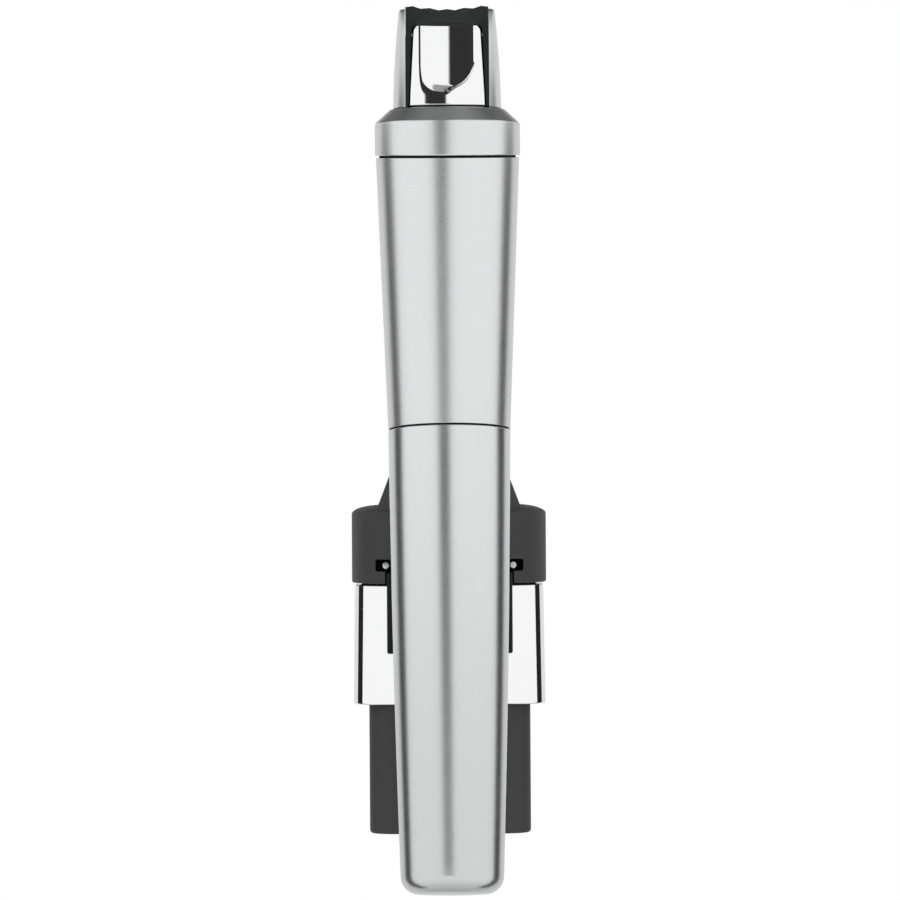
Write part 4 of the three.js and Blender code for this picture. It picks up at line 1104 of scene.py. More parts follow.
    def make_sleeve(self) -> None:
        """Makes the upper sleeve and the keel that carries the rail."""
        bm = turned([
            (self.sleeve_radius, 4),
            (self.sleeve_radius, 0),
            (self.mouth_radius, -self.sleeve_length),
            (self.bore_radius, -self.sleeve_length),
            (self.bore_radius, 4),
            (self.sleeve_radius, 4),
        ])
        self.placed(bm)
        self.trimmed(bm, self.groove / 2, True)
        soften(bm, 0.3, 30, 3)
        shown(bm, "sleeve_shell", Body.DISPENSER, Slot.SILVER, ["upper_sleeve"])
        keel = bmesh.new()
        corners = add_block(keel, self.keel_low, self.keel_high)
        middle = Vector(self.keel_low).lerp(Vector(self.keel_high), 0.5) * MM
        upper = [v for v in corners if v.co.z > middle.z and v.co.y < middle.y]
        bmesh.ops.translate(keel, vec=(0, self.keel_lean * MM, 0), verts=upper)
        soften(keel, 0.8, 30, 4)
        shown(keel, "sleeve_keel", Body.DISPENSER, Slot.SILVER)

    def outer_radius(self, share: float) -> float:
        """Gives the cup's outer radius, from its base at 0 to its mouth at 1."""
        flare = self.mouth_radius - self.base_radius
        return self.base_radius + flare * share + self.belly * math.sin(math.pi * share)

    def thread(self, radius: float, crest: float, top: float) -> list[Pair]:
        """Gives the rings of a thread, from the top down.

        Args:
            radius: the radius between the rings, in millimetres.
            crest: the radius at the middle of a ring.
            top: the height of the end that the thread starts from.

        Returns:
            The profile's points.
        """
        rings = []
        for turn in range(self.thread_turns):
            z = top - self.thread_start - self.thread_pitch * turn
            rings += [(radius, z), (crest, z - 1), (radius, z - 2)]
        return rings

    def make_cup(self) -> None:
        """Makes the capsule cup with its thread and rounded base."""
        mouth = -self.sleeve_length - self.cup_seam
        base = self.cup_end
        length = mouth - base
        shares = [i / 16 for i in range(17)]
        profile = [(0, base - self.dome), (self.base_radius * 0.6, base - 0.6 * self.dome)]
        profile += [(self.outer_radius(s), base + length * s) for s in shares]
        inner = self.bore_radius - 0.3
        profile += [(inner, mouth), *self.thread(inner, inner + 0.5, mouth)]
        profile += [(inner, self.spigot_end - 0.3), (self.cup_bore, self.spigot_end - 3.3)]
        profile += [(self.cup_bore, base + self.cup_floor), (0, base + self.cup_floor)]
        bm = turned(profile)
        low = (base + 0.5) * MM
        soften(bm, self.base_edge, 60, 8, lambda e: max(v.co.z for v in e.verts) < low)
        top = (mouth - 0.1) * MM
        soften(bm, 0.35, 60, 3, lambda e: min(v.co.z for v in e.verts) > top)
        silver = SatinSilver(name="satin_silver_cup").material()
        shown(self.placed(bm), "cup_shell", Body.CUP, Slot.SILVER, ["capsule_cup"], 40, material=silver)

    def make_capsule(self) -> None:
        """Makes the gas capsule with its round shoulder and neck."""
        base, top, radius, neck = self.capsule_base, self.capsule_top, self.capsule_radius, self.capsule_neck
        shoulder = top - self.capsule_shoulder
        hole = self.capsule_hole
        bm = turned([
            (0, base), (radius, base), (radius, shoulder), (neck, top - self.capsule_neck_length),
            (neck, top), (hole, top), (hole, top - 1), (0, top - 1),
        ], 64)
        soften(bm, 4, 50, 6, lambda e: max(v.co.z for v in e.verts) < (base + 0.5) * MM)
        soften(bm, 6, 20, 8, lambda e: abs(e.verts[0].co.z - shoulder * MM) < MM / 10)
        soften(bm, 0.5, 60, 3, lambda e: min(v.co.z for v in e.verts) > (top - 0.5) * MM)
        shown(self.placed(bm), "capsule_bottle", Body.CAPSULE, Slot.STEEL, ["gas_capsule"])

    def make_regulator(self) -> None:
        """Makes the regulator's body with the threaded spigot that the cup screws onto."""
        r, low, end = self.spigot_radius, -self.sleeve_length, self.spigot_end
        chamber, top, floor = self.chamber_radius, self.chamber_top, self.chamber_floor
        seat, way, roof = self.seat_radius, self.way_radius, end + self.seat_depth
        profile = [(chamber, top), (self.body_radius, top), (self.body_radius, low), (r, low)]
        profile += [*self.thread(r, r + self.thread_depth, low), (r, end), (seat, end), (seat, roof)]
        profile += [(way, roof), (way, self.way_top), (seat, self.way_top), (seat, floor)]
        profile += [(chamber, floor), (chamber, top)]
        bm = turned(profile, 72)
        shown(self.placed(bm), "regulator_housing", Body.DISPENSER, Slot.BRASS, ["regulator_body"])

    def make_works(self) -> None:
        """Makes the regulator's works: pin and seal below, and piston, spring and cap above."""
        dispenser, steel, brass = Body.DISPENSER, Slot.STEEL, Slot.BRASS
        pin = turned(self.pin_profile, 40)
        shown(self.placed(pin), "capsule_piercer", dispenser, steel, ["piercing_pin"])
        seal = soften(turned(self.seal_profile, 64), 0.4, 50, 4)
        shown(self.placed(seal), "capsule_washer", dispenser, Slot.RUBBER, ["capsule_seal"])
        piston = soften(turned(self.piston_profile), 0.2, 50, 2)
        shown(self.placed(piston), "piston_disc", Body.PISTON, brass, ["regulator_piston"])
        ring = soften(turned(self.ring_profile), 0.35, 50, 4)
        shown(self.placed(ring), "piston_ring", Body.PISTON, Slot.RUBBER)
        spring = coil(6.2, 0.75, 5, -41.15, -16.05)
        shown(self.placed(spring), "pressure_spring", dispenser, steel, ["regulator_spring"])
        cap = soften(turned(self.cap_profile), 0.4, 50, 3)
        ways = [rod(1.0, "Z", -11.5, -8, (x, 0), steps=24) for x in (-5.5, 5.5)]
        shown(self.placed(carved(cap, ways)), "chamber_cap", dispenser, brass, ["regulator_cap"])

    def build(self) -> None:
        """Makes the whole handle."""
        self.make_collar()
        self.make_seam_shade_rings()
        self.make_sleeve()
        self.make_cup()
        self.make_capsule()
        self.make_regulator()
        self.make_works()


# Head


@dataclass
class Head:
    """The two cheeks, the nose cover, the grip over the top and the thumb trigger."""

    rear_radius: float = 14.6
    nose_radius: float = 12.4
    rear_centre: float = -52.0
    nose_centre: float = 1.0
    base: float = 106.0
    top: float = 145.0
    nose_drop: float = 4.5
    collar_clear: float = 118.2
    collar_edge: float = -36.4
    split: float = -7.0
    inner: float = 11.1
    shoulder: float = 9.0
    fillet: float = 0.9
    nose_round: float = 16.0
    nose_front: float = 13.4
    chin_round: float = 5.0
    cover_wall: float = 1.6
    cover_split: float = -6.7
    cover_chin: float = 1.2
    cover_round: float = 8.0
    block_way: float = 8.3
    spout_way: float = 3.4
    spout_height: float = 113.0
    lean_in: float = 0.014
    curve_in: float = 0.118
    curve_power: float = 2.4
    level_run: float = 8.0
    proud: float = 0.2
    arch_share: float = 0.98
    draw_in: float = 11.0

    def taper(self, z: float) -> float:
        """Gives how much of its full width the head has at a height."""
        share = min(max((z - self.base) / (self.top - self.base), 0), 1)
        return 1 - self.lean_in * share - self.curve_in * share ** self.curve_power

    def roof(self, y: float) -> float:
        """Gives the height of the head's sloping top, without its roundings.

        Args:
            y: the place along Y, in millimetres.

        Returns:
            The height, in millimetres.
        """
        start = self.rear_centre - self.rear_radius + self.level_run
        end = self.nose_front - self.nose_round
        return self.top - self.nose_drop * min(max((y - start) / (end - start), 0), 1)

    def plan_width(self, y: float, scale: float) -> float:
        """Gives the half width of the head's straight side at a place along Y."""
        share = (y - self.rear_centre) / (self.nose_centre - self.rear_centre)
        return (self.rear_radius + (self.nose_radius - self.rear_radius) * share) * scale

    def cheek_point(self, u: float, v: float) -> Vector:
        """Gives a point of the right cheek's skin.

        Args:
            u: 0 at the window's edge and 1 at the split.
            v: 0 at the lower edge and 1 at the top of the inner side.

        Returns:
            The point, in millimetres.
        """
        bend, wall = 0.4, 0.86
        turn = min(u / bend, 1)
        along = max((u - bend) / (1 - bend), 0)
        y_guess = self.rear_centre + along * (self.split - self.rear_centre)
        low = self.collar_clear if y_guess < self.collar_edge else self.base
        high = self.roof(y_guess) + self.proud
        rise = min(v / wall, 1)
        fold = max((v - wall) / (1 - wall), 0) * math.pi / 2
        z = low + (high - self.fillet - low) * rise
        scale = self.taper(z)
        radius = self.rear_radius * scale
        first = math.asin(min(self.inner / radius, 1))
        angle = first + (math.pi / 2 - first) * turn
        level = z + self.fillet * math.sin(fold)
        over = max(level - (self.top - self.shoulder), 0) * self.arch_share
        lift = self.shoulder - math.sqrt(max(self.shoulder ** 2 - over ** 2, 0))
        if along > 0:
            x, y = self.plan_width(y_guess, scale), y_guess
        else:
            x = radius * math.sin(angle)
            y = self.rear_centre - radius * math.cos(angle) * max(1 - lift / self.draw_in, 0)
        x = max(x - self.fillet * (1 - math.cos(fold)), self.inner)
        return Vector((x, y, level))

    def make_cheeks(self, silver: bpy.types.Material) -> None:
        """Makes both cheeks from one.

        Args:
            silver: the head's silver.
        """
        for side, name in ((-1, "left"), (1, "right")):
            bm = sheet_of(60, 44, self.cheek_point)
            backed(bm, lambda place: Vector((self.inner * MM, place.y, place.z)))
            if side < 0:
                mirrored(bm)
            nodes = [f"{name}_cheek"]
            shown(bm, f"{name}_cheek_plate", Body.DISPENSER, Slot.SILVER, nodes, 40, material=silver)

    def cover_point(self, u: float, v: float) -> Vector:
        """Gives a point of the front cover's skin.

        Args:
            u: 0 at the split on the left, 1 at the split on the right.
            v: 0 in the middle of the bottom, 1 in the middle of the top.

        Returns:
            The point, in millimetres.
        """
        straight = 0.14
        turn = min(max((u - straight) / (1 - 2 * straight), 0), 1) * math.pi - math.pi / 2
        along = max(straight - u, u - 1 + straight, 0) / straight
        middle = self.nose_centre
        y0 = middle + (self.cover_split - middle) * along
        ahead = math.cos(turn) ** 2
        fillet = self.fillet + (self.cover_round - self.fillet) * ahead
        chin = self.cover_chin + (self.chin_round - self.cover_chin) * ahead
        height = self.roof(y0)
        reach = self.nose_radius if along == 0 else self.plan_width(y0, 1.0)
        out, z = self.cover_section(v, reach, chin, fillet, height)
        out *= self.taper(z)
        return Vector((out * math.sin(turn), y0 + out * math.cos(turn), z))

    def cover_section(self, v: float, reach: float, chin: float, fillet: float, height: float) -> Pair:
        """Follows the cover's section from the middle of the bottom to the middle of the top.

        Args:
            v: 0 at the bottom and 1 at the top.
            reach: how far out the section goes, in millimetres.
            chin: the radius at its lower corner.
            fillet: the radius at its upper corner.
            height: the height of its top.

        Returns:
            How far out, and how high.
        """
        floor_end, chin_end, wall_end, round_end = 0.12, 0.24, 0.55, 0.88
        if v < floor_end:
            return (reach - chin) * v / floor_end, self.base
        if v < chin_end:
            angle = math.pi / 2 * (v - floor_end) / (chin_end - floor_end)
            return reach - chin + chin * math.sin(angle), self.base + chin - chin * math.cos(angle)
        if v < wall_end:
            share = (v - chin_end) / (wall_end - chin_end)
            low = self.base + chin
            return reach, low + (height - fillet - low) * share
        if v < round_end:
            angle = math.pi / 2 * (v - wall_end) / (round_end - wall_end)
            run = min(fillet, reach)
            return reach - run + run * math.cos(angle), height - fillet + fillet * math.sin(angle)
        share = (v - round_end) / (1 - round_end)
        return (reach - min(fillet, reach)) * (1 - share), height

    def cover_inside(self, place: Vector) -> Vector:
        """Gives the place on the cover's inner side for a place on its skin.

        Args:
            place: the place on the skin, in metres.

        Returns:
            The place on the inner side, in metres.
        """
        middle = Vector((0, self.cover_split, (self.base + self.top) / 2)) * MM
        wall = self.cover_wall
        reach = (self.nose_radius, self.nose_front - self.cover_split, (self.top - self.base) / 2)
        return Vector(m + (p - m) * (1 - wall / r) for p, m, r in zip(place, middle, reach))

    def make_cover(self, silver: bpy.types.Material) -> None:
        """Makes the nose cover as a shell with holes for the valve block and the spout.

        Args:
            silver: the head's silver.
        """
        bm = doubled(cleaned(sheet_of(88, 96, self.cover_point), 2e-6), self.cover_inside)
        holes = [
            rod(self.block_way, "Z", self.base - PAST, self.base + PAST),
            rod(self.spout_way, "Y", 0, self.nose_front + PAST, (0, self.spout_height)),
        ]
        shell = carved(bm, holes)
        shown(shell, "nose_cover", Body.DISPENSER, Slot.SILVER, ["front_cover"], 40, material=silver)

    def build(self) -> None:
        """Makes the whole head."""
        silver = SatinSilver(name="satin_silver_head").material()
        self.make_cheeks(silver)
        self.make_cover(silver)
        Grip().build()
        Trigger().build()


@dataclass
class Grip:
    """The rubber saddle over the head, with its sheet of low facets and its window for the trigger."""

    half_width: float = 11.0
    head_radius: float = 14.6
    head_centre: float = -52.0
    proud: float = 0.3
    rear_bulge: float = 0.62
    front: float = -7.0
    top: float = 145.15
    nose_drop: float = 4.0
    shoulder: float = 6.5
    start_angle: float = 15.0
    first_row: float = 66.0
    pitch: float = 4.55
    peak: float = 0.95
    dish: float = 1.5
    droop: float = 1.0
    crease: float = 0.12
    window_top: float = 140.3
    window_low: float = 118.2
    window_front: float = -54.2
    window_low_width: float = 10.3
    window_top_width: float = 9.25
    bend_start: float = 138.7
    bend: float = 0.6
    roof_gap: float = 0.3
    thickness: float = 4.4
    band_lap: float = 0.4

    def rear(self, x: float) -> float:
        """Gives how far back the saddle reaches.

        Args:
            x: the place across, in millimetres.

        Returns:
            The place along Y, in millimetres.
        """
        edge = math.sqrt(self.head_radius ** 2 - self.half_width ** 2)
        bulge = math.sqrt(self.head_radius ** 2 - x ** 2) - edge
        return self.head_centre - edge - self.rear_bulge * bulge - self.proud

    def rows(self) -> list[float]:
        """Gives how far along the sheet each row of its points lies, in millimetres."""
        first = self.shoulder * math.radians(self.first_row - self.start_angle)
        length = self.shoulder * math.radians(90 - self.start_angle)
        length += self.front - self.head_centre + self.head_radius - self.shoulder
        count = int((length - first) / self.pitch)
        return [0.0, *[first + self.pitch * i for i in range(count + 1)], length]

    def point(self, x: float, run: float, lift: float) -> Vector:
        """Gives a point of the saddle's outer sheet.

        Args:
            x: the place across, in millimetres.
            run: the place along the sheet, from the window's top edge.
            lift: how far the point stands out.

        Returns:
            The point, in millimetres.
        """
        rear = self.rear(x)
        start = math.radians(self.start_angle)
        angle = start + run / self.shoulder
        if angle < math.pi / 2:
            radius = self.shoulder + lift
            z = self.top - self.shoulder + radius * math.sin(angle)
            z -= self.droop * (x / self.half_width) ** 2 * max(1 - run / self.pitch, 0)
            return Vector((x, rear + self.shoulder - radius * math.cos(angle), z))
        y = rear + self.shoulder + run - self.shoulder * (math.pi / 2 - start)
        share = (y - rear - self.shoulder) / (self.front - rear - self.shoulder)
        return Vector((x, min(y, self.front), self.top + lift - self.nose_drop * share))

    def under(self, place: Vector) -> Vector:
        """Gives the place on the saddle's flat underside for a place on its rim.

        Args:
            place: the place on the rim, in metres.

        Returns:
            The place on the underside, in metres.
        """
        share = min(max((place.y / MM - self.window_front) / (self.front - self.window_front), 0), 1)
        floor = self.window_top - (self.thickness - self.roof_gap) * share
        return Vector((place.x, place.y, min(floor * MM, place.z)))

    def make_saddle(self) -> None:
        """Makes the faceted part over the head."""
        rows = self.rows()
        columns = [-self.half_width, *[self.pitch * i for i in range(-2, 3)], self.half_width]
        bm = bmesh.new()
        grid = []
        for r, run in enumerate(rows):
            line = []
            for c, x in enumerate(columns):
                at_edge = c in (0, len(columns) - 1)
                peak = 0.3 * self.peak if at_edge else self.peak * ((r + c) % 2 == 0)
                dish = self.dish * (1 - (x / self.half_width) ** 2)
                lift = 0.0 if r == 0 else peak - dish
                line.append(bm.verts.new(self.point(x, run, lift) * MM))
            grid.append(line)
        for r in range(len(rows) - 1):
            for c in range(len(columns) - 1):
                a, b, d, e = grid[r][c], grid[r][c + 1], grid[r + 1][c], grid[r + 1][c + 1]
                corners = [(a, b, d), (b, e, d)] if (r + c) % 2 == 0 else [(a, b, e), (a, e, d)]
                for corner in corners:
                    bm.faces.new(corner)
        backed(bm, self.under)
        soften(bm, self.crease, 4, 2)
        shown(bm, "grip_saddle", Body.DISPENSER, Slot.RUBBER, ["top_grip"], 60)

    def make_bands(self) -> None:
        """Makes the two bands beside the window."""
        for side, name in ((-1, "left"), (1, "right")):
            sections = []
            bends = [math.pi / 2 * i / 5 for i in range(6)]
            levels = [(self.window_low, 0.0)]
            levels += [(self.bend_start + self.bend * math.sin(a), a) for a in bends]
            levels.append((self.window_top + self.band_lap, math.pi / 2))
            for z, bend in levels:
                share = (z - self.window_low) / (self.window_top - self.window_low)
                inner = self.window_low_width + (self.window_top_width - self.window_low_width) * share
                inner -= self.bend * (1 - math.cos(bend))
                outer = self.half_width
                steps = [inner + (outer - inner) * i / 6 for i in range(7)]
                rear = [(side * x, self.rear(x) + self.proud, z) for x in steps]
                front = [(side * x, self.window_front, z) for x in (outer, inner)]
                sections.append(rear + front)
            bm = soften(lofted(sections), 0.15, 40, 2)
            shown(bm, f"grip_band_{name}", Body.DISPENSER, Slot.RUBBER)

    def build(self) -> None:
        """Makes the whole grip."""
        self.make_saddle()
        self.make_bands()


@dataclass
class Trigger:
    """The chrome thumb trigger: a nearly flat plate with a shallow dish that is round below."""

    low: float = 118.4
    high: float = 140.2
    bottom_width: float = 10.0
    top_width: float = 9.05
    rear: float = -64.0
    front: float = -57.0
    lean: float = 0.041
    bow: float = 31.7
    edge: float = 0.35
    dish_width: float = 7.7
    dish_low: float = 121.2
    dish_bow: float = 37.0
    rim: float = 1.2
    corner: float = 1.6
    crisp_from: float = -0.6
    crisp_over: float = 3.0
    crisp_rim: float = 0.3
    arc_centre: float = 130.6
    arc_radius: float = 7.75
    arc_shift: float = 0.55
    arc_share: float = 0.55
    top_corner: float = 2.4
    pivot: Pair = (-58.5, 137.6)
    pin_radius: float = 1.0
    pin_half: float = 10.8

    def depth(self, x: float, z: float) -> float:
        """Gives how deep the dish is at a place.

        Args:
            x: the place across, in millimetres.
            z: the height, in millimetres.

        Returns:
            The depth, in millimetres.
        """
        wide, rim = self.dish_width, self.rim
        side = wide - abs(x)
        if side <= 0:
            return 0.0
        near = min(side, rim)
        trough = (wide - rim) * near * near / (2 * rim)
        if side > rim:
            trough += wide * (side - rim) - (side ** 2 - rim ** 2) / 2
        trough *= 1 / self.bow + 1 / self.dish_bow
        past = max(self.corner - side, 0)
        low = self.dish_low + self.corner - math.sqrt(max(self.corner ** 2 - past ** 2, 0))
        arc = self.arc_centre - math.sqrt(max(self.arc_radius ** 2 - (x + self.arc_shift) ** 2, 0.5))
        slide = min(max((x - self.crisp_from) / self.crisp_over, 0), 1)
        low += (arc - self.crisp_rim - low) * slide * slide * (3 - 2 * slide)
        share = min(max((z - low) * self.arc_share / (arc - low), 0), 1)
        return trough * share * share * (3 - 2 * share)

    def point(self, u: float, v: float) -> Vector:
        """Gives a point of the trigger's face.

        Args:
            u: 0 at its left edge and 1 at its right edge.
            v: 0 at its lower edge and 1 at its upper edge.

        Returns:
            The point, in millimetres.
        """
        z = self.low + (self.high - self.low) * v
        half = self.bottom_width + (self.top_width - self.bottom_width) * v
        over = max(z - self.high + self.top_corner, 0)
        half -= self.top_corner - math.sqrt(self.top_corner ** 2 - over ** 2)
        x = (2 * u - 1) * half
        y = self.rear + x * x / (2 * self.bow) + self.depth(x, z) + self.lean * (z - self.low)
        gaps = ((half - abs(x), self.edge), (z - self.low, self.edge), (self.high - z, self.edge / 2))
        for gap, edge in gaps:
            fall = max(edge - gap, 0)
            y += edge - math.sqrt(max(edge ** 2 - fall ** 2, 0))
        return Vector((x, y, z))

    def build(self) -> None:
        """Makes the trigger with its pin and spring."""
        bm = backed(
            sheet_of(180, 180, self.point), lambda place: Vector((place.x, self.front * MM, place.z))
        )
        shown(bm, "trigger_plate", Body.TRIGGER, Slot.CHROME, ["trigger"], 60)
        y, z = self.pivot
        pin = rod(self.pin_radius, "X", -self.pin_half, self.pin_half, (y, z), 0.2, 32)
        shown(pin, "trigger_axle", Body.DISPENSER, Slot.STEEL, ["trigger_pin"])
        spring = moved(coil(1.75, 0.3, 5, -2.4, 2.4), (0, y, z), 90, "Y")
        shown(spring, "trigger_coil", Body.DISPENSER, Slot.STEEL, ["trigger_spring"])


# Tap


@dataclass
class Tap:
    """The valve block, the needle with its hub, and the spout with its seal."""

    block_radius: float = 8.0
    block_base: float = 99.0
    block_top: float = 132.0
    hub_radius: float = 4.6
    hub_length: float = 7.0
    gap: float = 0.3
    needle_radius: float = 0.75
    needle_base: float = 5.0
    needle_point: float = 4.5
    needle_top: float = 103.0
    spout_height: float = 113.0
    spout_rear: float = 5.9
    spout_reach: float = 28.0
    spout_drop: float = 9.0
    spout_radius: float = 3.1
    spout_bore: float = 2.1
    seal_radius: float = 0.7
    seal_place: float = 14.4
    stem_height: float = 127.0
    stem_profile: Profile = (
        (0, -56.5), (1.8, -56.5), (1.8, -19.3), (3.2, -19.3), (3.2, -17.3), (1.8, -17.3), (1.8, -6.5),
        (0.9, -4.0), (0, -4.0),
    )

    def make_block(self) -> None:
        """Makes the valve block with a stepped foot."""
        low, r, way = self.block_base, self.block_radius, self.needle_radius + self.gap
        bm = turned([
            (way, low), (r - 1.6, low), (r - 1.6, low + 1.0), (r, low + 1.6), (r, self.block_top),
            (way, self.block_top), (way, low),
        ], 96)
        shown(soften(bm, 0.3, 30, 3), "valve_housing", Body.DISPENSER, Slot.BLACK, ["valve_block"])

    def make_hub(self) -> None:
        """Makes the needle's hexagonal hub."""
        high = self.block_base - self.gap
        low = high - self.hub_length
        r = self.hub_radius
        nut = hexagon(r, low, high)
        round_form = turned([
            (0, low), (r * 0.8, low), (r, low + 0.7), (r, high - 0.7), (r * 0.8, high), (0, high),
        ], 72)
        bm = carved(nut, [round_form], "INTERSECT")
        way = rod(self.needle_radius + self.gap / 2, "Z", low - 1, high + 1)
        shown(carved(bm, [way]), "needle_nut", Body.DISPENSER, Slot.STEEL, ["needle_hub"])

    def make_needle(self) -> None:
        """Makes the needle with its slender point and the hole in its side."""
        low, r = self.needle_base, self.needle_radius
        shares = [i / 12 for i in range(13)]
        profile = [(r * math.sin(s * math.pi / 2) ** 0.8, low + self.needle_point * s ** 1.3) for s in shares]
        bm = turned([*profile, (r, self.needle_top), (0, self.needle_top)], 40)
        hole = rod(0.35, "Y", 0, 2, (0, low + self.needle_point + 2.5), steps=20)
        shown(carved(bm, [hole]), "needle_tube", Body.DISPENSER, Slot.STEEL, ["needle"])

    def spout_path(self) -> list[Vector]:
        """Gives the spout's path: level at first, then bending down."""
        start = Vector((0, self.spout_rear, self.spout_height))
        end = Vector((0, self.spout_reach, self.spout_height - self.spout_drop))
        bend = Vector((0, self.spout_reach, self.spout_height))
        level = Vector((0, self.spout_rear + 9, self.spout_height))
        path = [start.lerp(level, i / 6) for i in range(6)]
        for i in range(29):
            share = i / 28
            path.append(level.lerp(bend, share).lerp(bend.lerp(end, share), share))
        return path

    def make_spout(self) -> None:
        """Makes the spout and its seal."""
        bm = tube_along(self.spout_path(), self.spout_radius, self.spout_bore)
        shown(soften(bm, 0.3, 60, 3), "spout_tube", Body.DISPENSER, Slot.STEEL, ["spout"])
        centre = self.spout_radius + self.gap + self.seal_radius
        steps = [2 * math.pi * i / 16 for i in range(17)]
        ring = turned([
            (centre + self.seal_radius * math.cos(a), self.seal_radius * math.sin(a)) for a in steps
        ], 72)
        moved(ring, (0, self.seal_place, self.spout_height), 90)
        shown(ring, "spout_ring", Body.DISPENSER, Slot.RUBBER, ["spout_seal"])

    def make_stem(self) -> None:
        """Makes the valve's stem, which the trigger pushes forwards, and its spring."""
        stem = soften(turned(self.stem_profile, 48), 0.2, 40, 3)
        moved(stem, (0, 0, self.stem_height), -90)
        shown(stem, "valve_rod", Body.STEM, Slot.STEEL, ["valve_stem"])
        spring = moved(coil(2.7, 0.35, 4, -15.25, -8.95), (0, 0, self.stem_height), -90)
        shown(spring, "valve_coil", Body.DISPENSER, Slot.STEEL, ["valve_spring"])

    def build(self) -> None:
        """Makes the whole tap."""
        self.make_stem()
        self.make_block()
        self.make_hub()
        self.make_needle()
        self.make_spout()


# Slide


@dataclass
class Slide:
    """The rail on the handle's keel, its stop and its screws."""

    back: float = -31.75
    step: float = -28.55
    front: float = -25.75
    web: float = 5.0
    flange: float = 9.0
    low: float = -25.3
    high: float = 105.7
    screw_heights: Pair = (48.72, 88.98)
    head_radius: float = 2.8
    head_depth: float = 1.5
    shank_radius: float = 1.5
    screw_length: float = 8.5
    gap: float = 0.3
    stop_reach: float = 11.2
    stop_low: float = -28.6
    stop_high: float = -25.6
    stop_screw_radius: float = 1.3
    stop_screw_length: float = 11.0

    def make_rail(self) -> None:
        """Makes the T-shaped rail with counterbores for its screws."""
        w, f = self.web, self.flange
        outline = [
            (-w, self.back), (w, self.back), (w, self.step), (f, self.step),
            (f, self.front), (-f, self.front), (-f, self.step), (-w, self.step),
        ]
        bm = soften(prism(outline, "Z", self.low, self.high), 0.4, 30, 3)
        seat = self.front - self.head_depth - self.gap
        tools = []
        for z in self.screw_heights:
            tools.append(rod(self.head_radius + self.gap, "Y", seat, self.front + 2, (0, z)))
            tools.append(rod(self.shank_radius + self.gap, "Y", self.back - 2, self.front, (0, z)))
        shown(carved(bm, tools), "rail_bar", Body.DISPENSER, Slot.RAIL, ["slide_rail"])

    def make_screws(self) -> None:
        """Makes the two rail screws with their hexagon sockets."""
        top = self.front - self.gap / 2
        seat = self.front - self.head_depth
        for name, z in zip(("lower", "upper"), self.screw_heights):
            bm = turned([
                (0, top - self.screw_length), (self.shank_radius, top - self.screw_length),
                (self.shank_radius, seat), (self.head_radius, seat), (self.head_radius, top), (0, top),
            ], 48)
            soften(bm, 0.25, 60, 3)
            bm = carved(bm, [hexagon(1.4, top - 1.1, top + 1)])
            moved(bm, (0, 0, z), -90)
            shown(bm, f"rail_cap_screw_{name}", Body.DISPENSER, Slot.STEEL, [f"rail_screw_{name}"])

    def make_stop(self) -> None:
        """Makes the stop under the rail and its screw."""
        r = self.stop_reach
        bm = block((-r, self.back, self.stop_low), (r, self.front, self.stop_high), 0.5)
        middle = (self.back + self.front) / 2
        way = rod(self.stop_screw_radius + self.gap, "Z", self.stop_low - 2, self.stop_high + 2, (0, middle))
        shown(carved(bm, [way]), "stop_plate", Body.DISPENSER, Slot.BLACK, ["rail_stop"])
        low = self.stop_low
        screw = rod(self.stop_screw_radius, "Z", low, low + self.stop_screw_length, (0, middle), 0.2)
        socket = moved(hexagon(0.75, low - 1, low + 1), (0, middle, 0))
        shown(carved(screw, [socket]), "stop_pin_screw", Body.DISPENSER, Slot.STEEL, ["stop_screw"])

    def build(self) -> None:
        """Makes the whole slide."""
        self.make_rail()
        self.make_screws()
        self.make_stop()


# Clamp


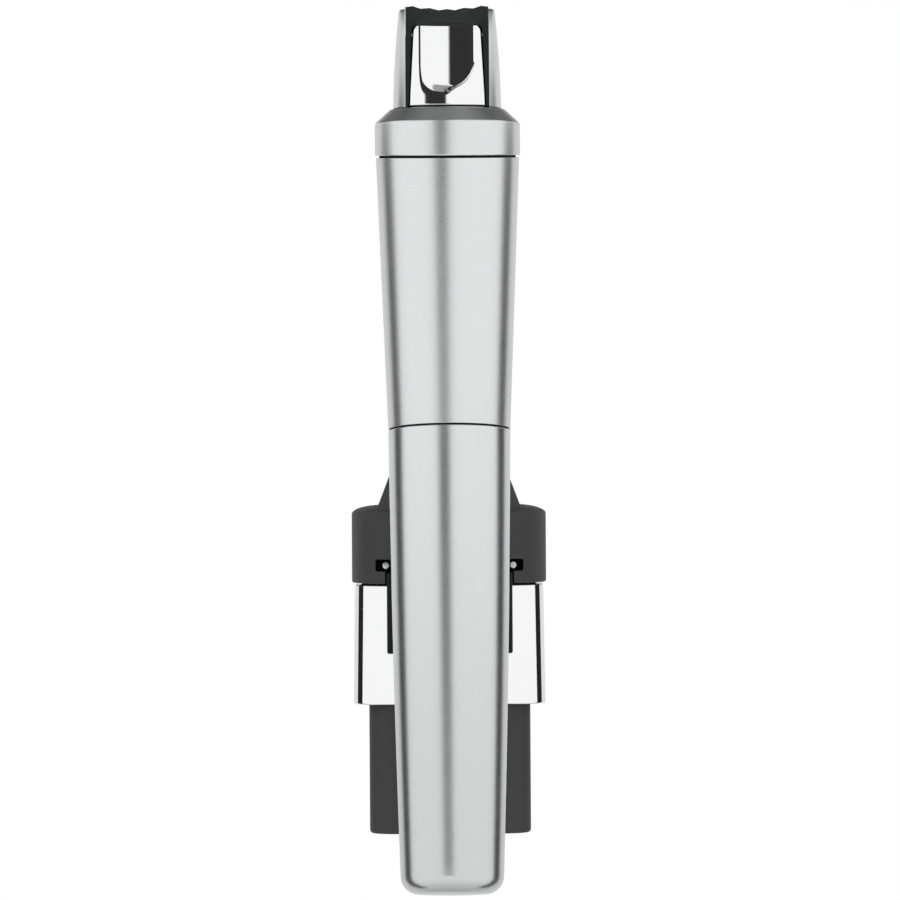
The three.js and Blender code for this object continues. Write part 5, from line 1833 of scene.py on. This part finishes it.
@dataclass
class Jaw:
    """One sprung arm with its chrome lever cover and its neck pad."""

    side: int
    half_width: float = 25.7
    half_depth: float = 20.5
    corner: float = 9.0
    lever_top: float = -9.4
    lever_base: float = -42.0
    lever_wall: float = 1.5
    flare: float = 0.5
    leg_width: float = 22.0
    leg_depth: float = 18.7
    leg_corner: float = 7.2
    leg_base: float = -77.3
    leg_edge: float = 1.0
    upper_width: float = 23.9
    parting: float = 4.0
    bore: float = 17.1
    headroom: float = 15.5
    pin_x: float = 17.1
    pin_z: float = -3.9
    pin_way: float = 1.3
    knuckle_radius: float = 2.2
    knuckle_half: float = 14.0
    spring_half: float = 4.5
    pad_outer: float = 16.8
    pad_inner: float = 15.0
    pad_low: float = -73.3
    pad_high: float = -13.7
    pad_ribs: int = 6
    pad_start: float = 6.0
    rib_depth: float = 0.6
    rib_steps: int = 12

    def half_post(
        self, half_width: float, half_depth: float, corner: float, low: float, high: float
    ) -> bmesh.types.BMesh:
        """Makes the right half of a post with round corners.

        Args:
            half_width: half its width, in millimetres.
            half_depth: half its depth.
            corner: the radius of its corners.
            low: its lower end.
            high: its upper end.

        Returns:
            The closed half post.
        """
        bm = post(half_width, half_depth, corner, low, high)
        cut = halved(bm, (self.parting, 0, 0), (-1, 0, 0))
        bmesh.ops.holes_fill(bm, edges=cut, sides=0)
        return cleaned(bm)

    @property
    def name(self) -> str:
        """Gives the side's name."""
        return "left" if self.side < 0 else "right"

    @property
    def body(self) -> Body:
        """Gives the body that the arm is."""
        return Body.LEFT_JAW if self.side < 0 else Body.RIGHT_JAW

    def sided(self, bm: bmesh.types.BMesh) -> bmesh.types.BMesh:
        """Gives a right-hand mesh on this jaw's own side."""
        return mirrored(bm) if self.side < 0 else bm

    def make_lever(self) -> None:
        """Makes the chrome cover: a thin band with rounded rims that flares a little downwards."""
        bm = self.half_post(self.half_width, self.half_depth, self.corner, self.lever_base, self.lever_top)
        ends = [f for f in bm.faces if abs(f.normal.z) > 0.9 or f.normal.x < -0.9]
        bmesh.ops.delete(bm, geom=ends, context="FACES")
        for vertex in bm.verts:
            share = (self.lever_top * MM - vertex.co.z) / ((self.lever_top - self.lever_base) * MM)
            vertex.co.x *= 1 + self.flare * share / self.half_width
        bmesh.ops.recalc_face_normals(bm, faces=bm.faces)
        bmesh.ops.solidify(bm, geom=bm.faces[:], thickness=self.lever_wall * MM)
        bmesh.ops.recalc_face_normals(bm, faces=bm.faces)
        soften(bm, 0.4, 60, 4)
        shown(self.sided(bm), f"{self.name}_lever_band", self.body, Slot.CHROME, [f"{self.name}_lever_cover"])

    def make_arm(self) -> None:
        """Makes the dark arm: the leg, the part behind the cover and the knuckle on the pin."""
        leg = self.half_post(
            self.leg_width, self.leg_depth, self.leg_corner, self.leg_base, self.lever_base + 4
        )
        low = (self.leg_base + 1) * MM
        soften(leg, self.leg_edge, 50, 5, lambda e: max(v.co.z for v in e.verts) < low)
        upper = self.half_post(
            self.upper_width, self.leg_depth, self.leg_corner, self.lever_base + 1.2, self.lever_top
        )
        x, z, r, half = self.pin_x, self.pin_z, self.knuckle_radius, self.knuckle_half
        tongue = block((x - r, -half, self.lever_top - 4), (x + r, half, z))
        knuckle = rod(r, "Y", -half, half, (x, z))
        arm = carved(leg, [upper, tongue, knuckle], "UNION")
        spring = self.spring_half
        tools = [
            rod(self.bore, "Z", self.leg_base - PAST, self.lever_top + 0.01, steps=128),
            rod(self.headroom, "Z", self.lever_top - PAST, PAST, steps=128),
            block((x - PAST, -spring, z - r), (x + PAST, spring, PAST)),
            rod(self.pin_way, "Y", -half - PAST, half + PAST, (x, z)),
        ]
        arm = self.sided(carved(arm, tools))
        shown(arm, f"{self.name}_leg", self.body, Slot.CASTING, [f"{self.name}_arm"], 40)

    def make_pad(self) -> None:
        """Makes the ribbed rubber pad that grips the bottle's neck."""
        low, high = self.pad_low, self.pad_high
        count = self.pad_ribs * self.rib_steps
        profile = [(self.pad_outer, low), (self.pad_outer, high)]
        for i in range(count, -1, -1):
            wave = 0.5 - 0.5 * math.cos(2 * math.pi * i / self.rib_steps)
            radius = self.pad_inner + self.rib_depth * (1 - wave) ** 2
            profile.append((radius, low + (high - low) * i / count))
        bm = turned([*profile, (self.pad_outer, low)], 128)
        edge = halved(bm, (self.pad_start, 0, 0), (-1, 0, 0))
        bmesh.ops.holes_fill(bm, edges=edge, sides=0)
        cleaned(bm)
        soften(bm, 0.3, 60, 3)
        shown(self.sided(bm), f"{self.name}_pad", self.body, Slot.RUBBER, [f"{self.name}_neck_pad"])

    def build(self) -> None:
        """Makes the jaw."""
        self.make_lever()
        self.make_arm()
        self.make_pad()


@dataclass
class Clamp:
    """The cap with its tower, the carriage, the needle guide, the pins and the two jaws."""

    half_width: float = 26.5
    front_depth: float = 21.5
    corner: float = 13.0
    base: float = -8.8
    base_edge: float = 0.5
    rim: float = 9.9
    crown: float = 2.4
    crown_run: float = 9.0
    setback: float = 1.2
    back: float = -33.15
    neck: float = 12.0
    gap: float = 0.3
    tower_width: float = 19.2
    tower_top_width: float = 13.2
    tower_front: float = -16.65
    tower_top: float = 28.0
    carriage_front: float = -21.05
    carriage_width: float = 16.95
    carriage_low: float = -27.7
    carriage_step: float = -5.85
    notch: float = 17.4
    lip_radius: float = 15.5
    guide_radius: float = 4.0
    guide_flange: float = 5.6
    guide_way: float = 1.1
    guide_edge: float = 0.7
    guide_lip: float = 1.2
    guide_funnel: float = 2.4
    guide_throat: float = 1.0
    pin_radius: float = 1.0
    pin_x: float = 17.1
    pin_z: float = -3.9
    pin_rear: float = -31.9
    pin_front: float = 16.0
    pocket_inner: float = 1.7
    pocket_outer: float = 2.9
    pocket_half: float = 1.65
    pocket_corner: float = 0.6
    well: float = 2.7
    knuckle_half: float = 14.3
    slot_width: float = 10.2
    slot_rear: float = -28.85
    slot_front: float = -24.55
    mouth_width: float = 5.3
    rail_front: float = -25.75
    stop_pocket: float = 11.5
    stop_top: float = -25.3
    stop_back: float = -32.05
    liner_width: float = 9.9
    liner_front: float = -24.85
    liner_back: float = -28.55
    liner_wall: float = 0.6
    liner_half: float = 12.0

    def plan(self, inset: float, z: float) -> list[tuple[float, float, float]]:
        """Gives the cap's outline: round corners in front and a long curve to the carriage behind.

        Args:
            inset: how far the outline is drawn in, in millimetres.
            z: its height.

        Returns:
            The points, all the way round.
        """
        w, d, r = self.half_width - inset, self.front_depth - inset, self.corner
        right = []
        for i in range(21):
            angle = math.pi / 2 * (1 - i / 20)
            right.append((w - r + r * math.cos(angle), d - r + r * math.sin(angle), z))
        back = self.back + inset
        for i in range(1, 29):
            angle = math.pi / 2 * i / 28
            right.append((
                self.neck + (w - self.neck) * math.cos(angle),
                -self.corner + (back + self.corner) * math.sin(angle),
                z,
            ))
        return right + [(-x, y, level) for x, y, level in reversed(right)]

    def make_cap(self) -> None:
        """Makes the cap with its tower, the room for the jaws' knuckles and the seat for the bottle's lip."""
        edge = self.base_edge
        sections = [self.plan(edge, self.base), self.plan(edge * 0.3, self.base + edge * 0.3)]
        sections.append(self.plan(0, self.base + edge))
        for i in range(15):
            angle = math.pi / 2 * i / 14
            inset = self.crown_run * (1 - math.cos(angle))
            sections.append(self.plan(inset, self.rim + self.crown * math.sin(angle)))
        body = lofted(sections)
        roof = self.rim + self.crown
        tower = prism([
            (-self.tower_width, 0), (self.tower_width, 0), (self.tower_width, roof),
            (self.tower_top_width, self.tower_top), (-self.tower_top_width, self.tower_top),
            (-self.tower_width, roof),
        ], "Y", self.back - PAST, self.tower_front)
        soften(tower, 0.5, 20, 4, lambda e: max(v.co.z for v in e.verts) > (roof - 1) * MM)
        within = lofted([self.plan(self.setback, z) for z in (self.rim - 1, self.tower_top + 1)])
        tower = carved(tower, [within], "INTERSECT")
        bm = carved(carved(body, [tower], "UNION"), self.cap_tools())
        shown(bm, "cap_shell", Body.CLAMP, Slot.CASTING, ["clamp_cap"], 32)

    def cap_tools(self) -> list[bmesh.types.BMesh]:
        """Gives what is cut out of the cap."""
        rear, front = self.back - PAST, self.carriage_front + self.gap
        neck, low, high = self.neck + self.gap, self.base - PAST, self.tower_top + PAST
        tools = [
            block((-neck, rear, low), (neck, front, high)),
            block((-self.notch, rear, low), (self.notch, front, self.carriage_step + self.gap)),
            rod(self.lip_radius, "Z", low, 0, steps=128),
            rod(self.guide_radius + self.gap, "Z", -PAST, high, steps=64),
        ]
        for side in (-1, 1):
            x, z, well = side * self.pin_x, self.pin_z, self.well
            ends = sorted((x - side * self.pocket_inner, x + side * self.pocket_outer))
            pocket = block((ends[0], rear, z - self.pocket_half), (ends[1], front, z + self.pocket_half))
            soften(pocket, self.pocket_corner, 30, 4, lambda e: abs(e.verts[0].co.y - e.verts[1].co.y) > MM)
            tools.append(pocket)
            half = self.knuckle_half
            tools.append(block((x - well, -half, low), (x + well, half, z + well)))
            start, end = self.carriage_front - PAST, self.pin_front + self.gap
            tools.append(rod(self.pin_radius + self.gap, "Y", start, end, (x, z)))
        return tools

    def make_carriage(self) -> None:
        """Makes the black carriage that the rail runs in."""
        wide, neck = self.carriage_width, self.neck
        back, front = self.back, self.carriage_front
        lower = block((-wide, back, self.carriage_low), (wide, front, self.carriage_step), 0.5)
        upper = block((-neck, back, self.carriage_low + 2), (neck, front, self.tower_top), 0.5)
        low, high = self.carriage_low - PAST, self.tower_top + PAST
        tools = [
            block((-self.slot_width, self.slot_rear, low), (self.slot_width, self.slot_front, high)),
            block((-self.mouth_width, back - PAST, low), (self.mouth_width, self.rail_front, high)),
            block(
                (-self.stop_pocket, self.stop_back, low),
                (self.stop_pocket, self.slot_front, self.stop_top),
            ),
        ]
        bm = carved(carved(lower, [upper], "UNION"), tools)
        shown(bm, "carriage_block", Body.CLAMP, Slot.BLACK, ["carriage"], 32)

    def make_liner(self) -> None:
        """Makes the slippery liner that the rail's flanges run in."""
        outer, wall, half = self.liner_width, self.liner_wall, self.liner_half
        back, front = self.liner_back, self.liner_front
        inner = outer - wall
        bm = block((-outer, back, -half), (outer, front, half), 0.2)
        way = block((-inner, back - PAST, -half - PAST), (inner, front - wall, half + PAST))
        shown(carved(bm, [way]), "slide_liner", Body.CLAMP, Slot.BLACK, ["glide_liner"])

    def make_guide(self) -> None:
        """Makes the flanged bush that the needle slides through."""
        roof = self.rim + self.crown + self.gap
        r, flange, way, lip = self.guide_radius, self.guide_flange, self.guide_way, self.guide_lip
        bm = turned([
            (way, self.gap), (r, self.gap), (r, roof), (flange, roof), (flange, roof + self.guide_edge),
            (flange - lip, roof + lip), (self.guide_funnel, roof + lip), (way, roof - self.guide_throat),
            (way, self.gap),
        ], 72)
        shown(soften(bm, 0.25, 30, 3), "needle_bush", Body.CLAMP, Slot.BLACK, ["needle_guide"])

    def make_pins(self) -> None:
        """Makes the two hinge pins with their domed ends, and the springs round them."""
        for side, name in ((-1, "left"), (1, "right")):
            place = (side * self.pin_x, self.pin_z)
            bm = rod(self.pin_radius, "Y", self.pin_rear, self.pin_front, place, 0.35, 32)
            shown(bm, f"{name}_pin", Body.CLAMP, Slot.STEEL, [f"{name}_hinge_pin"])
            spring = moved(coil(1.55, 0.25, 6, -3.9, 3.9), (place[0], 0, place[1]), -90)
            shown(spring, f"{name}_spring", Body.CLAMP, Slot.STEEL, [f"{name}_torsion_spring"])

    def build(self) -> None:
        """Makes the whole clamp."""
        self.make_cap()
        self.make_carriage()
        self.make_liner()
        self.make_guide()
        self.make_pins()
        Jaw(-1).build()
        Jaw(1).build()


# Studio


@dataclass
class Studio:
    """The camera, the lamps, the pale floor and the white surroundings."""

    camera_place: Place = (-11.0, -1655.0, 27.2)
    heading: float = -0.4
    lens: float = 240.6
    roll: float = -0.35
    floor_height: float = -350.0
    floor_radius: float = 3000.0
    strip_turn: Band = (-10.2, 10.2, 1.2)
    strip_rise: Band = (2.0, 78.0, 0.8)
    strip_lean: Ramp = (5.5, 8.2, 7.2, 11.2)
    strip_dark: float = 0.97
    rear_turn: Band = (-118.0, 118.0, 10.0)
    rear_level: float = 0.78
    rear_rise: Pair = (10.0, 26.0)
    rear_dark: float = 0.85
    ceiling: Ramp = (38.0, 50.0, 1.0, 0.2)
    glow_turn: Band = (2.0, 80.0, 3.0)
    glow_rise: Band = (42.0, 76.0, 6.0)
    glow: float = 0.15
    ground: Ramp = (-75.0, -20.0, 0.7, 1.0)
    fill: float = 0.55
    fill_rise: Ramp = (-10.0, 70.0, 0.35, 2.6)
    lamp_target: Place = (0.0, 0.0, 30.0)
    card_place: Pair = (400.0, 125.0)
    card_width: float = 215.0
    card_low: float = -760.0
    card_high: float = 170.0

    def make_camera(self) -> None:
        """Makes the camera at the photograph's viewing angle."""
        data = bpy.data.cameras.new("camera")
        data.lens = self.lens
        data.sensor_width = 36
        data.clip_start = 0.05
        data.clip_end = 50
        camera = bpy.data.objects.new("camera", data)
        level = Matrix.Rotation(math.radians(90), 4, "X")
        turn = Matrix.Rotation(math.radians(self.roll), 4, "Z")
        heading = Matrix.Rotation(math.radians(self.heading), 4, "Z")
        camera.matrix_world = Matrix.Translation(Vector(self.camera_place) * MM) @ heading @ level @ turn
        bpy.context.scene.collection.objects.link(camera)
        bpy.context.scene.camera = camera

    def make_lamp(self, name: str, place: Sequence[float], size: float, power: float) -> None:
        """Adds one soft lamp, which faces the dispenser.

        Args:
            name: its name.
            place: where it hangs, in millimetres.
            size: the side of its square, in millimetres.
            power: its power, in watts.
        """
        data = bpy.data.lights.new(name, "AREA")
        data.size = size * MM
        data.energy = power
        lamp = bpy.data.objects.new(name, data)
        lamp.location = Vector(place) * MM
        facing = Vector(self.lamp_target) - Vector(place)
        lamp.rotation_euler = facing.to_track_quat("-Z", "Y").to_euler()
        lamp.visible_camera = False
        lamp.visible_glossy = False
        bpy.context.scene.collection.objects.link(lamp)

    def make_surroundings(self) -> None:
        """Makes the white studio that metal mirrors.

        Turn goes round from the camera's side and rise goes up from the horizon, both in degrees. A dark
        strip that leans a little stands over the camera, the far side and the ceiling are dimmer, and a faint
        glow lies high up on one side. Rays that are neither seen, mirrored nor refracted get the fill light.
        """
        world = bpy.data.worlds.new("studio")
        bpy.context.scene.world = world
        world.use_nodes = True
        s = Shader(world.node_tree)
        where = s.node("ShaderNodeTexCoord", output="Generated")
        parts = [s.node("ShaderNodeSeparateXYZ", inputs={"Vector": where}, output=name) for name in "XYZ"]
        x, y, z = parts
        turn = s.node("ShaderNodeMath", {"operation": "ARCTAN2"}, {0: x, 1: 0.0 - y}) * (180 / math.pi)
        rise = s.node("ShaderNodeMath", {"operation": "ARCSINE"}, {0: z}) * (180 / math.pi)
        strip = (turn + rise.step(*self.strip_lean)).within(*self.strip_turn)
        strip = strip * rise.within(*self.strip_rise)
        level = 1.0 - self.strip_dark * strip
        rear = turn.within(*self.rear_turn).step(0, 1, 1.0, 0.0)
        level = level * (1.0 - rear * (1.0 - self.rear_level))
        level = level * (1.0 - self.rear_dark * rear * rise.step(*self.rear_rise))
        level = level * rise.step(*self.ceiling)
        level = level + self.glow * turn.within(*self.glow_turn) * rise.within(*self.glow_rise)
        level = level * rise.step(*self.ground)
        kinds = ("Is Camera Ray", "Is Glossy Ray", "Is Transmission Ray")
        camera, glossy, clear = (s.node("ShaderNodeLightPath", output=name) for name in kinds)
        mirrored_level = level * glossy
        seen = camera + mirrored_level + clear
        other = (1.0 - camera) * (1.0 - glossy) * (1.0 - clear)
        strength = seen + self.fill * other * rise.step(*self.fill_rise)
        background = s.node("ShaderNodeBackground", inputs={"Color": WHITE, "Strength": strength})
        s.node("ShaderNodeOutputWorld", inputs={"Surface": background})

    def make_cards(self) -> None:
        """Makes the two black cards beside the dispenser that only its metal mirrors."""
        x, y = self.card_place
        half = self.card_width / 2
        for side in (-1, 1):
            low = (side * x - 0.5, y - half, self.card_low)
            high = (side * x + 0.5, y + half, self.card_high)
            card = bpy.data.objects.new("card", to_mesh(block(low, high), "card"))
            bpy.context.scene.collection.objects.link(card)
            card.visible_camera = False
            card.visible_diffuse = False
            card.visible_shadow = False
            card.data.materials.append(Wardrobe.material(Slot.BLACK.value))

    def make_floor(self) -> None:
        """Makes the plain pale floor."""
        bm = bmesh.new()
        bmesh.ops.create_circle(bm, cap_ends=True, segments=96, radius=self.floor_radius * MM)
        bmesh.ops.translate(bm, vec=(0, 0, self.floor_height * MM), verts=bm.verts)
        floor = bpy.data.objects.new("floor", to_mesh(bm, "floor"))
        bpy.context.scene.collection.objects.link(floor)
        material, s = new_material("pale_floor")
        glow = 0.42 * s.node("ShaderNodeLightPath", output="Is Camera Ray")
        tone = s.noise(400.0, 2.0)
        s.finish(
            Base_Color=s.shade((0.84, 0.84, 0.84), tone, 0.98),
            Roughness=0.9,
            Emission_Color=WHITE,
            Emission_Strength=glow,
        )
        floor.data.materials.append(material)
        floor.visible_glossy = False

    def build(self) -> None:
        """Makes the studio."""
        bpy.context.scene.view_settings.view_transform = "Standard"
        self.make_camera()
        self.make_lamp("left_softbox", (-900, -1000, 700), 900, 10)
        self.make_lamp("right_softbox", (900, -1000, 600), 900, 9)
        self.make_lamp("top_softbox", (0, 100, 1300), 1000, 20)
        self.make_lamp("back_softbox", (0, 1300, 500), 900, 8)
        self.make_surroundings()
        self.make_cards()
        self.make_floor()


def dress_cad_nodes() -> None:
    """Gives each CAD node the finish of its material slot."""
    for row in frame["record"]["subparts"]:
        node = frame["nodes"][row["node"]]
        node.data.materials.clear()
        node.data.materials.append(Wardrobe.material(row["material_slot"]))


def main() -> None:
    """Builds the studio and every piece."""
    logging.basicConfig(level=logging.INFO, format="%(name)s: %(message)s")
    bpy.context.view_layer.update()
    Studio().build()
    dress_cad_nodes()
    Handle().build()
    Head().build()
    Tap().build()
    Slide().build()
    Clamp().build()


if __name__ == "__main__":
    main()
